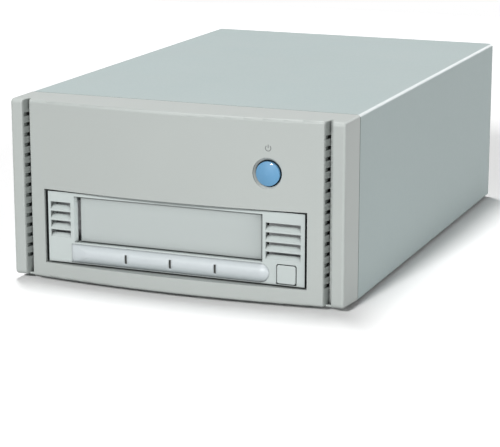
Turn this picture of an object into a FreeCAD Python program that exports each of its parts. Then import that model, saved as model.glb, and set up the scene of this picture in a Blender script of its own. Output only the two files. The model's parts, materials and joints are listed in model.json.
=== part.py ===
import FreeCAD, Part
import Sketcher
import math
import os
import re
from FreeCAD import Placement, Rotation, Vector

# External half-height tape drive: a half-inch cartridge drive inside a table-top enclosure with its
# own power supply and fan.  Millimetres, +Z up.  The row's origin is under the middle of the object,
# on the plane it stands on.  Most sub-parts are drawn in the "case frame": x to the right, y backwards
# from the front face of the pillars, z upwards from the underside of the bezel.

# ---------------------------------------------------------------------------------------------
# Driving dimensions
# ---------------------------------------------------------------------------------------------
DIMENSIONS = [
    # enclosure
    ("case_w", 190.0, "enclosure width"),
    ("case_tall", 97.5, "enclosure height without feet"),
    ("case_d", 291.5, "pillar front to rear edge of the cover"),
    ("foot_tall", 3.0, "rubber foot under the case"),
    ("front_reach", 4.2, "bulge of the panel in front of the pillars"),
    ("rear_reach", 4.5, "jack posts behind the rear edge"),
    ("sheet_t", 1.0, "steel sheet"),
    # front bezel moulding
    ("bezel_d", 24.7, "seam with the cover"),
    ("pillar_y", 1.3, "front of the pillars and of the panel's ends"),
    ("bezel_wall", 2.6, "bezel wall"),
    ("panel_half", 83.6, "half width of the bowed panel"),
    ("panel_bow_r", 638.1, "bow radius of the panel"),
    ("pillar_in", 88.4, "inner side of a pillar"),
    ("groove_slope", 2.0, "lean of a groove wall from its edge to the groove's floor"),
    ("groove_y", 7.1, "floor of the groove"),
    ("groove_back", 9.0, "back of the groove's floor"),
    ("shoulder_r", 0.8, "rounding of the groove's edges"),
    ("slit_off", 0.5, "slit beside the edge of its groove wall"),
    ("slit_w", 1.4, "slit width across the groove wall"),
    ("slit_tall", 2.1, "slit height"),
    ("slit_first", 10.8, "lowest slit"),
    ("slit_pitch", 5.57, "slit pitch"),
    ("slit_count", 15, "slits in a row"),
    ("edge_r", 1.6, "rounding of the panel's top and bottom edge"),
    ("pillar_r", 2.4, "rounding of the pillar ends"),
    ("corner_r", 1.4, "rounding of the bezel's vertical corners"),
    ("skirt_drop", 1.6, "fall of the bezel's underside towards the seam"),
    ("tongue_d", 4.4, "tongue under the cover"),
    ("tongue_t", 1.6, "tongue thickness"),
    ("bay_half", 75.4, "half width of the drive opening"),
    ("bay_low", 8.7, "underside of the drive opening"),
    ("bay_high", 49.6, "top of the drive opening"),
    ("collar_t", 1.8, "collar round the drive opening"),
    ("collar_end", 8.0, "rear end of the collar"),
    ("rib_t", 1.6, "stiffening rib"),
    ("rib_d", 9.0, "rear edge of the stiffening ribs"),
    # power button
    ("button_x", 54.8, "button centre"),
    ("button_z", 68.9, "button centre"),
    ("button_r", 6.4, "button cap"),
    ("button_hole_r", 7.1, "hole in the panel"),
    ("dish_r", 8.3, "dish round the hole"),
    ("dish_d", 0.9, "depth of the dish"),
    ("tube_r", 9.2, "guide tube behind the panel"),
    ("tube_end", 9.5, "rear end of the guide tube"),
    ("button_tip", -4.0, "front of the domed cap"),
    ("button_rim", -2.6, "where the dome starts"),
    ("flange_r", 8.6, "retaining flange of the button"),
    ("flange_y", 9.9, "front of the retaining flange"),
    ("stem_r", 2.6, "button stem"),
    ("stem_end", 24.0, "end of the stem at rest"),
    ("plate_y", 19.0, "front of the switch bracket"),
    ("boss_off", 16.0, "bracket screws beside the button"),
    ("boss_r", 3.2, "screw boss"),
    # tape drive
    ("drive_half", 73.8, "half width of the drive bezel"),
    ("drive_low", 9.55, "underside of the drive bezel"),
    ("drive_high", 48.35, "top of the drive bezel"),
    ("face_y", 1.5, "face of the drive bezel"),
    ("face_t", 2.4, "thickness of that face"),
    ("chassis_y", 9.0, "front of the drive chassis"),
    ("chassis_d", 197.0, "length of the drive chassis"),
    ("chassis_half", 73.0, "half width of the chassis"),
    ("chassis_low", 8.9, "underside of the chassis"),
    ("chassis_high", 48.7, "top of the casting"),
    ("chassis_t", 2.2, "casting wall"),
    ("deck_low", 13.4, "underside of the casting's deck"),
    ("deck_high", 15.6, "top of the casting's deck"),
    ("lid_t", 0.8, "lid sheet"),
    ("slot_left", -57.2, "cartridge aperture"),
    ("slot_right", 50.45, "cartridge aperture"),
    ("slot_low", 21.1, "cartridge aperture"),
    ("slot_high", 46.5, "cartridge aperture"),
    ("slot_flare", 1.2, "slope of the aperture's left side"),
    ("door_gap", 1.3, "gap beside the door"),
    ("door_y", 4.2, "front of the closed door"),
    ("door_t", 1.4, "door flap"),
    ("door_low", 21.6, "lower edge of the door"),
    ("hinge_y", 4.9, "door hinge axis"),
    ("hinge_z", 47.4, "door hinge axis"),
    ("barrel_r", 1.1, "door barrel"),
    ("pin_r", 0.6, "door pin"),
    ("running", 0.05, "radial running clearance"),
    ("louvre_tall", 4.3, "height of one louvre pocket"),
    ("louvre_slot", 1.9, "height of its slot"),
    ("louvre_pitch", 5.13, "louvre pitch"),
    ("louvre_top", 42.7, "top of the upper left louvre"),
    ("louvre_left_x", -72.3, "left louvres"),
    ("louvre_left_w", 11.8, "left louvres"),
    ("louvre_right_x", 52.2, "right louvres"),
    ("louvre_right_w", 19.3, "right louvres"),
    ("bar_left", -60.0, "status bar"),
    ("bar_right", 54.2, "status bar"),
    ("bar_low", 10.1, "status bar"),
    ("bar_high", 20.2, "status bar"),
    ("bar_y", 0.1, "crown of the status bar"),
    ("bar_rim", 1.3, "edge of the status bar"),
    ("bar_fade", 9.0, "slope at the bar's left end"),
    ("bar_seat", 2.7, "back of the status bar"),
    ("lens_first", -27.4, "left status lens"),
    ("lens_pitch", 25.75, "status lens pitch"),
    ("lens_w", 1.3, "status lens"),
    ("lens_low", 12.4, "status lens"),
    ("lens_high", 17.2, "status lens"),
    ("eject_x", 63.8, "eject button centre"),
    ("eject_z", 15.4, "eject button centre"),
    ("eject_w", 10.4, "eject button"),
    ("eject_tall", 10.0, "eject button"),
    ("eject_y", 0.9, "front of the eject button"),
    ("eject_gap", 0.4, "gap round the eject button"),
    # tape path
    ("supply_x", -3.8, "supply hub axis"),
    ("supply_y", 61.0, "supply hub axis"),
    ("takeup_x", -18.0, "take-up reel axis"),
    ("takeup_y", 158.0, "take-up reel axis"),
    ("reel_r", 42.0, "take-up reel flange"),
    ("reel_core_r", 17.0, "take-up reel core"),
    ("reel_low", 20.0, "underside of the reel"),
    ("reel_gap", 13.5, "gap between the reel's flanges"),
    ("motor_r", 21.5, "reel motor"),
    ("motor_low", 11.8, "underside of a reel motor"),
    ("shaft_r", 3.0, "reel motor shaft"),
    ("roller_r", 5.5, "guide roller"),
    ("roller_flange_r", 7.0, "guide roller flange"),
    ("roller_low", 20.0, "guide roller"),
    ("roller_high", 36.0, "guide roller"),
    ("spindle_r", 2.4, "guide roller spindle"),
    ("head_x", 66.0, "head guide posts"),
    ("head_y", 141.0, "head lead screw"),
    ("post_off", 6.5, "guide posts beside the lead screw"),
    ("post_r", 1.6, "head guide post"),
    ("lead_r", 1.5, "head lead screw"),
    ("tray_low", 19.6, "underside of the cartridge tray"),
    ("tray_floor_t", 1.4, "floor of the cartridge tray"),
    ("tray_wall_t", 1.6, "wall of the cartridge tray"),
    ("tray_y", 12.0, "front of the cartridge tray"),
    ("tray_back", 112.0, "rear of the cartridge tray"),
    # inner sheet metal
    ("cover_low", -2.0, "underside of the cover's lips"),
    ("seam", 0.6, "gap between bezel and cover"),
    ("tray_z", 0.2, "underside of the base tray"),
    ("tray_half", 93.8, "half width of the base tray"),
    ("flange_tall", 20.0, "side flange of the base tray"),
    ("rear_y", 289.5, "inner face of the rear panel"),
    ("foot_x", 70.0, "foot position"),
    ("foot_front", 45.0, "foot position"),
    ("foot_rear", 262.0, "foot position"),
    ("foot_r", 7.0, "foot radius"),
    ("bracket_t", 1.2, "rail and shelf sheet"),
    ("rail_tall", 34.0, "drive rail"),
    ("rail_front", 45.0, "drive rail"),
    ("rail_rear", 190.0, "drive rail"),
    ("shelf_z", 54.8, "underside of the power shelf"),
    ("shelf_front", 100.0, "power shelf"),
    ("shelf_rear", 235.0, "power shelf"),
    ("screw_r", 1.5, "screw shank"),
    ("screw_head_r", 2.8, "screw head"),
    ("screw_head", 1.6, "screw head height"),
    ("screw_fit", 0.1, "clearance round a screw"),
    # power supply
    ("board_x", -46.0, "power board centre"),
    ("board_y", 168.0, "power board centre"),
    ("board_w", 80.0, "power board"),
    ("board_d", 120.0, "power board"),
    ("board_t", 1.6, "power board"),
    ("standoff", 4.0, "height of the board's standoffs"),
    # rear connectors
    ("fan_x", 50.0, "fan axis"),
    ("fan_z", 50.0, "fan axis"),
    ("fan_size", 60.0, "fan frame"),
    ("fan_d", 20.0, "fan depth"),
    ("fan_bore", 28.5, "fan bore radius"),
    ("fan_pitch", 50.0, "fan screw spacing"),
    ("fan_hub", 13.5, "fan hub radius"),
    ("fan_tip", 27.7, "fan blade tip radius"),
    ("fan_blades", 7, "fan blades"),
    ("inlet_x", -60.0, "mains inlet centre"),
    ("inlet_z", 72.0, "mains inlet centre"),
    ("inlet_w", 27.4, "mains inlet body"),
    ("inlet_tall", 19.8, "mains inlet body"),
    ("inlet_flange_w", 50.0, "mains inlet flange"),
    ("inlet_flange_tall", 22.4, "mains inlet flange"),
    ("inlet_pitch", 40.0, "mains inlet screw spacing"),
    ("port_x", -28.0, "SCSI port centre"),
    ("port_low_z", 20.0, "lower SCSI port"),
    ("port_high_z", 40.0, "upper SCSI port"),
    ("port_w", 44.0, "SCSI port shell"),
    ("port_tall", 9.0, "SCSI port shell"),
    ("jack_off", 26.0, "jack post beside the port centre"),
    ("selector_x", -75.0, "address selector centre"),
    ("selector_z", 30.0, "address selector centre"),
    ("selector_w", 24.0, "address selector"),
    ("selector_tall", 13.0, "address selector"),
    ("wheel_r", 4.8, "address wheel"),
    ("wheel_w", 4.4, "address wheel"),
]

doc = FreeCAD.newDocument("TapeDrive")
dims = doc.addObject("Spreadsheet::Sheet", "Dims")
for row, (alias, size, note) in enumerate(DIMENSIONS, 1):
    dims.set("A%d" % row, note)
    dims.set("B%d" % row, str(size))
    dims.setAlias("B%d" % row, alias)
doc.recompute()

ALIASES = {alias for alias, size, note in DIMENSIONS}
WORD = re.compile(r"[a-z][a-z0-9_]*")
NODES = []


def bound(text):
    """An expression on the sheet's cells, written with their bare aliases."""
    return WORD.sub(lambda word: "Dims." + word[0] if word[0] in ALIASES else word[0], str(text))


def size_of(text):
    return float(dims.evalExpression(bound(text)))


CASE = ("0", "-(case_d + rear_reach - front_reach) / 2", "foot_tall")


def place(item, x="0", y="0", z="0"):
    """Puts a sub-part's own origin at a point of the case frame."""
    for name, shift, at in zip("xyz", CASE, (x, y, z)):
        item.setExpression("Placement.Base." + name, bound("(%s) + (%s)" % (shift, at)))


# ---------------------------------------------------------------------------------------------
# Sketch outlines
# ---------------------------------------------------------------------------------------------
def rect(u0, v0, u1, v1):
    return [(u0, v0), (u1, v0), (u1, v1), (u0, v1)]


def block(u, v, wide, tall):
    """A rectangle round a centre."""
    return rect("%s - (%s) / 2" % (u, wide), "%s - (%s) / 2" % (v, tall),
                "%s + (%s) / 2" % (u, wide), "%s + (%s) / 2" % (v, tall))


def circle(u, v, r):
    return {"centre": (u, v), "r": r}


def mirrored(points):
    """The same outline on the other side of the sketch's vertical axis."""
    return [("-(%s)" % point[0],) + tuple(point[1:]) for point in reversed(points)]


def draw(sketch, loop):
    """Adds one closed loop.  Each corner is held by two driven distances from the sketch's origin.
    A corner may carry (through point, radius): an arc then runs from it to the next corner.  A half
    circle is held by its centre instead, as (through point, "centre", distance to the right), and a
    dome by a centre on the sketch's horizontal axis, as (through point, "on axis")."""

    def hold(kind, *where, value):
        index = sketch.addConstraint(Sketcher.Constraint(kind, *where, size_of(value)))
        sketch.setExpression("Constraints[%d]" % index, bound(value))

    first = sketch.GeometryCount
    if isinstance(loop, dict):
        centre = Vector(size_of(loop["centre"][0]), size_of(loop["centre"][1]), 0)
        sketch.addGeometry(Part.Circle(centre, Vector(0, 0, 1), size_of(loop["r"])), False)
        hold("DistanceX", -1, 1, first, 3, value=loop["centre"][0])
        hold("DistanceY", -1, 1, first, 3, value=loop["centre"][1])
        hold("Radius", first, value=loop["r"])
        return
    corners = [Vector(size_of(point[0]), size_of(point[1]), 0) for point in loop]
    count = len(corners)
    starts = []
    for i, point in enumerate(loop):
        a, b = corners[i], corners[(i + 1) % count]
        if len(point) == 2:
            sketch.addGeometry(Part.LineSegment(a, b), False)
            starts.append(1)
            continue
        through, held = point[2][:2]
        middle = Vector(size_of(through[0]), size_of(through[1]), 0)
        clockwise = (middle - a).cross(b - middle).z < 0
        sketch.addGeometry(Part.Arc(b, middle, a) if clockwise else Part.Arc(a, middle, b), False)
        starts.append(2 if clockwise else 1)
        if held == "on axis":
            sketch.addConstraint(Sketcher.Constraint("PointOnObject", first + i, 3, -1))
        elif held == "centre":
            hold("DistanceX", -1, 1, first + i, 3, value=point[2][2])
        else:
            hold("Radius", first + i, value=held)
    for i in range(count):
        after = (i + 1) % count
        sketch.addConstraint(Sketcher.Constraint("Coincident", first + i, 3 - starts[i], first + after, starts[after]))
    for i, point in enumerate(loop):
        hold("DistanceX", -1, 1, first + i, starts[i], value=point[0])
        hold("DistanceY", -1, 1, first + i, starts[i], value=point[1])


def near(a, b):
    return abs(a - b) < 0.02


def settle(feature):
    """Recomputes, and stops at the first feature that fails."""
    doc.recompute()
    if "Invalid" in feature.State or "Error" in feature.State:
        raise RuntimeError("%s failed: %s" % (feature.Name, feature.getStatusString()))
    if feature.Shape.isNull() or not feature.Shape.isValid():
        raise RuntimeError("%s has no valid shape" % feature.Name)
    return feature


class Piece:
    """A PartDesign body with a label of its own.  Every feature runs from its start towards plus on
    the axis that its sketch plane is square to: z for XY, y for XZ, x for YZ."""

    def __init__(self, label, x="0", y="0", z="0"):
        self.body = doc.addObject("PartDesign::Body", label)
        self.body.Label = label
        self.label = label
        self.count = 0
        place(self.body, x, y, z)
        NODES.append(self.body)

    def origin(self, role):
        return next(item for item in self.body.Origin.OriginFeatures if item.Role == role)

    def name(self, kind):
        self.count += 1
        return "%s_%s_%d" % (self.label, kind, self.count)

    def sketch(self, plane, start, loops, right="0", up="0"):
        """A sketch on a plane of the body's origin, moved along the plane's normal and in it."""
        sketch = self.body.newObject("Sketcher::SketchObject", self.name("sketch"))
        sketch.AttachmentSupport = [(self.origin(plane + "_Plane"), "")]
        sketch.MapMode = "FlatFace"
        away = "-(%s)" % start if plane == "XZ" else "%s" % start
        for name, shift in zip("xyz", (right, up, away)):
            sketch.setExpression("AttachmentOffset.Base." + name, bound(shift))
        for loop in loops:
            draw(sketch, loop)
        return sketch

    def pad(self, plane, start, length, *loops, right="0", up="0"):
        feature = self.body.newObject("PartDesign::Pad", self.name("pad"))
        feature.Profile = self.sketch(plane, start, loops, right, up)
        feature.setExpression("Length", bound(length))
        feature.Reversed = plane == "XZ"
        return settle(feature)

    def cut(self, plane, start, length, *loops, right="0", up="0"):
        before = self.body.Shape.Volume
        feature = self.body.newObject("PartDesign::Pocket", self.name("pocket"))
        feature.Profile = self.sketch(plane, start, loops, right, up)
        feature.setExpression("Length", bound(length))
        feature.Reversed = plane != "XZ"
        settle(feature)
        if not self.body.Shape.Volume < before - 1e-3:
            raise RuntimeError("%s cuts nothing" % feature.Name)
        return feature

    def turn(self, plane, profile, axis="V_Axis", start="0", right="0", up="0", cutting=False):
        """Revolves a profile about its sketch's own vertical or horizontal axis."""
        kind = "Groove" if cutting else "Revolution"
        feature = self.body.newObject("PartDesign::" + kind, self.name(kind.lower()))
        sketch = self.sketch(plane, start, [profile], right, up)
        feature.Profile = sketch
        feature.ReferenceAxis = (sketch, [axis])
        feature.Angle = 360.0
        return settle(feature)

    def soften(self, radius, test):
        """Rounds the edges whose bounding box passes the test."""
        base = self.body.Tip
        names = ["Edge%d" % (i + 1) for i, edge in enumerate(base.Shape.Edges) if test(edge.BoundBox)]
        if not names:
            raise RuntimeError("%s: no edge to soften" % self.label)
        feature = self.body.newObject("PartDesign::Fillet", self.name("fillet"))
        feature.Base = (base, names)
        feature.setExpression("Radius", bound(radius))
        return settle(feature)

    def row(self, original, axis, length, count, back=False):
        """Repeats a feature along an axis, or against it."""
        feature = self.body.newObject("PartDesign::LinearPattern", self.name("row"))
        feature.Originals = [original]
        feature.Direction = (self.origin(axis + "_Axis"), [""])
        feature.Reversed = back
        feature.setExpression("Length", bound(length))
        feature.setExpression("Occurrences", bound(count))
        self.body.Tip = feature
        return settle(feature)

    def ring(self, original, axis, count):
        """Repeats a feature round an axis of the body, or round N, its own sketch's normal."""
        feature = self.body.newObject("PartDesign::PolarPattern", self.name("ring"))
        feature.Originals = [original]
        if axis == "N":
            feature.Axis = (original.Profile[0], ["N_Axis"])
        else:
            feature.Axis = (self.origin(axis + "_Axis"), [""])
        feature.Angle = 360.0
        feature.setExpression("Occurrences", bound(count))
        self.body.Tip = feature
        return settle(feature)


# ---------------------------------------------------------------------------------------------
# Enclosure: front bezel moulding
# ---------------------------------------------------------------------------------------------
def bow(half, inset):
    """Where an arc concentric with the panel's bow, set back by inset, stands at x = half."""
    centre = "(panel_bow_r - front_reach)"
    return "%s - sqrt((panel_bow_r - %s) ^ 2 - (%s) ^ 2)" % (centre, inset, half)


def make_front_bezel():
    """Bowed panel between two pillars, with a perforated groove beside each pillar."""
    piece = Piece("front_bezel")
    half = "case_w / 2"
    nose = "-front_reach - 2"
    front = [
        ("-" + half, "pillar_y"), ("-pillar_in", "pillar_y"), ("-pillar_in + groove_slope", "groove_y"),
        ("-panel_half - groove_slope", "groove_y"), ("-panel_half", "pillar_y"), ("-panel_half", nose),
        ("panel_half", nose), ("panel_half", "pillar_y"), ("panel_half + groove_slope", "groove_y"),
        ("pillar_in - groove_slope", "groove_y"), ("pillar_in", "pillar_y"), (half, "pillar_y"),
        (half, "bezel_d"), ("-" + half, "bezel_d"),
    ]
    piece.pad("XY", "0", "case_tall", front)

    # hollow, open to the rear
    inner = "case_w / 2 - bezel_wall"
    edge = "panel_half - bezel_wall"
    core = "pillar_in + bezel_wall * 0.7"
    skin = "pillar_y + bezel_wall"
    cavity = [
        ("-(%s)" % inner, skin), ("-(%s)" % core, skin), ("-(%s)" % core, "groove_back"),
        ("-(%s)" % edge, "groove_back"),
        ("-(%s)" % edge, bow(edge, "bezel_wall"), (("0", "bezel_wall - front_reach"), "panel_bow_r - bezel_wall")),
        (edge, bow(edge, "bezel_wall")), (edge, "groove_back"), (core, "groove_back"),
        (core, skin), (inner, skin),
        (inner, "bezel_d + 1"), ("-(%s)" % inner, "bezel_d + 1"),
    ]
    piece.cut("XY", "bezel_wall", "case_tall - 2 * bezel_wall", cavity)

    # skirt that falls from the front down to the cover's lips
    skirt = [("pillar_y + 3", "0"), ("bezel_d", "-skirt_drop"), ("bezel_d", "1"), ("pillar_y + 3", "1")]
    piece.pad("YZ", "-case_w / 2", "case_w", skirt)

    # collar round the drive opening, guide tube, bracket bosses and ribs, all grown from the panel
    collar = rect("-bay_half - collar_t", "bay_low - collar_t", "bay_half + collar_t", "bay_high + collar_t")
    piece.pad("XZ", nose, "collar_end - (%s)" % nose, collar)
    piece.pad("XZ", nose, "tube_end - (%s)" % nose, circle("button_x", "button_z", "tube_r"))
    for side in ("-", "+"):
        boss = circle("button_x %s boss_off" % side, "button_z", "boss_r")
        piece.pad("XZ", nose, "plate_y - (%s)" % nose, boss)
    for x in ("-46", "0"):
        rib = rect("%s - rib_t / 2" % x, "bay_high + collar_t - 0.5", "%s + rib_t / 2" % x, "case_tall - 1")
        piece.pad("XZ", nose, "rib_d - (%s)" % nose, rib)
    shelf = rect("-panel_half + 1", "57", "26", "57 + rib_t")
    piece.pad("XZ", nose, "rib_d - (%s)" % nose, shelf)

    # tongue that slides under the cover
    out = "case_w / 2 - sheet_t"
    top = "case_tall - sheet_t"
    thin = "tongue_t"
    tongue = [
        ("-(%s)" % out, "6"), ("-(%s) + %s" % (out, thin), "6"), ("-(%s) + %s" % (out, thin), "%s - %s" % (top, thin)),
        ("%s - %s" % (out, thin), "%s - %s" % (top, thin)), ("%s - %s" % (out, thin), "6"), (out, "6"),
        (out, top), ("-(%s)" % out, top),
    ]
    piece.pad("XZ", "bezel_d - 3", "tongue_d + 3", tongue)
    piece.soften("1", lambda box: near(box.YMax, size_of("bezel_d + tongue_d")) and box.ZLength < 0.02
                 and box.XLength < 0.02 and box.ZMin > 90)

    # trim the panel to its bow
    bulge = [
        ("-panel_half", nose + " - 1"), ("-panel_half", "pillar_y", (("0", "-front_reach"), "panel_bow_r")),
        ("panel_half", "pillar_y"), ("panel_half", nose + " - 1"),
    ]
    piece.cut("XY", "-1", "case_tall + 2", bulge)

    # opening for the drive, stopped short of the rear so that it only opens the panel and its collar
    piece.cut("XZ", nose, "collar_end - (%s) + 1" % nose, rect("-bay_half", "bay_low", "bay_half", "bay_high"))

    # button hole with a shallow dish, and the bracket screws' holes
    lip = bow("button_x", "0")
    dish = [
        (nose, "0"), (nose, "dish_r"), (lip, "dish_r"), ("%s + dish_d" % lip, "button_hole_r"),
        ("tube_end + 1", "button_hole_r"), ("tube_end + 1", "0"),
    ]
    piece.turn("YZ", dish, "H_Axis", start="button_x", up="button_z", cutting=True)
    holes = [circle("button_x %s boss_off" % side, "button_z", "screw_r + screw_fit") for side in ("-", "+")]
    piece.cut("XZ", "plate_y - 10", "11", *holes)

    # slits in both walls of each groove
    middles = ["panel_half + slit_off + slit_w / 2", "pillar_in - slit_off - slit_w / 2"]
    level = [block("%s(%s)" % (side, x), "slit_first", "slit_w", "slit_tall") for side in ("-", "") for x in middles]
    first = piece.cut("XZ", "pillar_y", "groove_back - pillar_y + 1", *level)
    piece.row(first, "Z", "slit_pitch * (slit_count - 1)", "slit_count")

    # rounded edges
    tall, front = size_of("case_tall"), size_of("pillar_y")
    piece.soften("edge_r", lambda box: box.XLength > 160 and box.YMin < -4 and box.ZLength < 0.1
                 and (near(box.ZMin, tall) or near(box.ZMin, 0)))
    piece.soften("pillar_r", lambda box: near(box.YMax, front) and box.XMin * box.XMax > 0 and box.XLength > 5
                 and (near(box.ZMin, tall) or near(box.ZMin, 0)))
    piece.soften("corner_r", lambda box: near(box.YMax, front) and near(abs(box.XMin), size_of("case_w / 2"))
                 and box.XLength < 0.1 and box.ZLength > 50)
    piece.soften("shoulder_r", lambda box: box.ZLength > 85 and near(box.YMin, front) and near(box.YMax, front)
                 and (near(abs(box.XMin), size_of("panel_half")) or near(abs(box.XMin), size_of("pillar_in"))))


# ---------------------------------------------------------------------------------------------
# Enclosure: sheet metal
# ---------------------------------------------------------------------------------------------
def make_top_cover():
    """U-shaped cover with inward lips below and a flange down over the rear panel."""
    piece = Piece("top_cover")
    half, low, top = "case_w / 2", "cover_low", "case_tall"
    section = [
        ("-" + half, low), ("-86", low), ("-86", "%s + sheet_t" % low), ("-(%s) + sheet_t" % half, "%s + sheet_t" % low),
        ("-(%s) + sheet_t" % half, "%s - sheet_t" % top), ("%s - sheet_t" % half, "%s - sheet_t" % top),
        ("%s - sheet_t" % half, "%s + sheet_t" % low), ("86", "%s + sheet_t" % low), ("86", low), (half, low),
        (half, top), ("-" + half, top),
    ]
    piece.pad("XZ", "bezel_d + seam", "case_d - bezel_d - seam", section)
    width, tall, lips = size_of(half), size_of(top), size_of(low)

    def bend(box, x, z):
        return box.YLength > 200 and near(abs(box.XMin), x) and near(box.ZMin, z) and box.XLength < 0.1

    piece.soften("2.0", lambda box: bend(box, width, tall) or bend(box, width, lips))
    piece.soften("1.0", lambda box: bend(box, width - 1, tall - 1) or bend(box, width - 1, lips + 1))
    flange = rect("-86", "case_tall - 10", "86", "case_tall - 0.5")
    piece.pad("XZ", "rear_y + sheet_t", "sheet_t", flange)
    holes = [circle(x, "case_tall - 6", "screw_r + screw_fit") for x in COVER_SCREW_X]
    piece.cut("XZ", "rear_y", "3", *holes)


COVER_SCREW_X = ("-70", "0", "70")


def make_base_tray():
    """Floor with side flanges and a low front flange; louvred for the fan's intake."""
    piece = Piece("base_tray")
    half, floor = "tray_half", "tray_z"
    section = [
        ("-" + half, floor), (half, floor), (half, "flange_tall"), ("%s - sheet_t" % half, "flange_tall"),
        ("%s - sheet_t" % half, "%s + sheet_t" % floor), ("-%s + sheet_t" % half, "%s + sheet_t" % floor),
        ("-%s + sheet_t" % half, "flange_tall"), ("-" + half, "flange_tall"),
    ]
    piece.pad("XZ", "bezel_d + tongue_d", "rear_y - bezel_d - tongue_d + sheet_t", section)
    front = rect("-70", floor, "70", "%s + sheet_t" % floor)
    piece.pad("XZ", "bezel_d", "tongue_d + 1", front)
    piece.pad("XZ", "bezel_d", "sheet_t", rect("-70", floor, "70", "8"))
    piece.soften("1.3", lambda box: box.YLength > 200 and near(abs(box.XMin), size_of(half)) and near(box.ZMin, size_of(floor)))
    slots = block("-40", "236", "3", "34")
    first = piece.cut("XY", "0", "2", slots)
    piece.row(first, "X", "80", "11")
    screws = [circle(x, y, "screw_r + screw_fit") for x, y in FLOOR_SCREWS + FEET]
    piece.cut("XY", "0", "2", *screws)


FEET = (("-foot_x", "foot_front"), ("foot_x", "foot_front"), ("-foot_x", "foot_rear"), ("foot_x", "foot_rear"))
RAIL_SCREWS = (("-79", "60"), ("79", "60"), ("-79", "175"), ("79", "175"))
SHELF_SCREWS = (("-88.8", "115"), ("88.8", "115"), ("-88.8", "220"), ("88.8", "220"))
REAR_SCREWS = (("-60", "284"), ("60", "284"))
FLOOR_SCREWS = RAIL_SCREWS + SHELF_SCREWS + REAR_SCREWS


def make_rear_panel():
    """Upright sheet with a foot flange, connector cut-outs and a punched fan grille."""
    piece = Piece("rear_panel")
    low = "tray_z + sheet_t"
    piece.pad("XZ", "rear_y", "sheet_t", rect("-tray_half + sheet_t", low, "tray_half - sheet_t", "case_tall - 1.2"))
    foot = rect("-80", "rear_y - 10", "80", "rear_y + 0.5")
    piece.pad("XY", low, "sheet_t", foot)
    openings = [
        block("inlet_x", "inlet_z", "inlet_w + 0.4", "inlet_tall + 0.4"),
        block("port_x", "port_low_z", "port_w + 0.4", "port_tall + 0.4"),
        block("port_x", "port_high_z", "port_w + 0.4", "port_tall + 0.4"),
        block("selector_x", "selector_z", "selector_w - 2", "selector_tall - 2"),
    ]
    piece.cut("XZ", "rear_y - 1", "3", *openings)
    screws = [circle(x, "case_tall - 6", "screw_r + screw_fit") for x in COVER_SCREW_X]
    for side in ("-", "+"):
        screws.append(circle("inlet_x %s inlet_pitch / 2" % side, "inlet_z", "screw_r + screw_fit"))
        for z in ("port_low_z", "port_high_z"):
            screws.append(circle("port_x %s jack_off" % side, z, "screw_r + screw_fit"))
        for up in ("-", "+"):
            where = ("fan_x %s fan_pitch / 2" % side, "fan_z %s fan_pitch / 2" % up)
            screws.append(circle(where[0], where[1], "screw_r + screw_fit"))
    piece.cut("XZ", "rear_y - 1", "3", *screws)
    piece.cut("XY", "0", "4", *[circle(x, y, "screw_r + screw_fit") for x, y in REAR_SCREWS])
    for inner in ("6", "12.6", "19.2"):
        slot = piece.cut("XZ", "rear_y - 1", "3", grille_slot(inner, inner + " + 4.4"), right="fan_x", up="fan_z")
        piece.ring(slot, "N", "4")


def grille_slot(inner, outer):
    """One curved slot of a ring, a quarter turn less the webs, with its ends square to the ring."""
    web, diagonal = "0.9", "sqrt(0.5)"
    far_in = "sqrt((%s) ^ 2 - %s ^ 2)" % (inner, web)
    far_out = "sqrt((%s) ^ 2 - %s ^ 2)" % (outer, web)
    inner_middle = ("(%s) * %s" % (inner, diagonal), "(%s) * %s" % (inner, diagonal))
    outer_middle = ("(%s) * %s" % (outer, diagonal), "(%s) * %s" % (outer, diagonal))
    return [
        (web, far_in), (web, far_out, (outer_middle, outer)), (far_out, web), (far_in, web, (inner_middle, inner)),
    ]


def make_feet():
    for name, (x, y) in zip(("front_left", "front_right", "rear_left", "rear_right"), FEET):
        piece = Piece("foot_" + name, x, y, "-foot_tall")
        top = "foot_tall + tray_z"
        profile = [
            ("screw_r + screw_fit", "1.6"), ("screw_head_r + 0.4", "1.6"), ("screw_head_r + 0.4", "0"),
            ("foot_r - 1", "0"), ("foot_r - 0.4", "0.8"), ("foot_r", top), ("screw_r + screw_fit", top),
        ]
        piece.turn("XZ", profile)


def make_rails():
    """Two angle rails that hold the drive by its sides."""
    low = "tray_z + sheet_t"
    for label, side in (("drive_rail_left", -1), ("drive_rail_right", 1)):
        piece = Piece(label)
        section = [
            ("chassis_half", low), ("chassis_half + 11", low), ("chassis_half + 11", low + " + bracket_t"),
            ("chassis_half + bracket_t", low + " + bracket_t"), ("chassis_half + bracket_t", "rail_tall"),
            ("chassis_half", "rail_tall"),
        ]
        piece.pad("XZ", "rail_front", "rail_rear - rail_front", section if side > 0 else mirrored(section))
        start = "chassis_half - 1" if side > 0 else "-chassis_half - bracket_t - 1"
        drive_holes = [circle(y, "chassis_low + 10", "screw_r + screw_fit") for y in SIDE_SCREW_Y]
        piece.cut("YZ", start, "bracket_t + 2", *drive_holes)
        windows = [block(y, "26", "22", "6") for y in ("90", "125", "160")]
        piece.cut("YZ", start, "bracket_t + 2", *windows)
        floor_holes = [circle(x, y, "screw_r + screw_fit") for x, y in RAIL_SCREWS if (x[0] == "-") == (side < 0)]
        piece.cut("XY", "0", "4", *floor_holes)


SIDE_SCREW_Y = ("62", "152")


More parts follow.
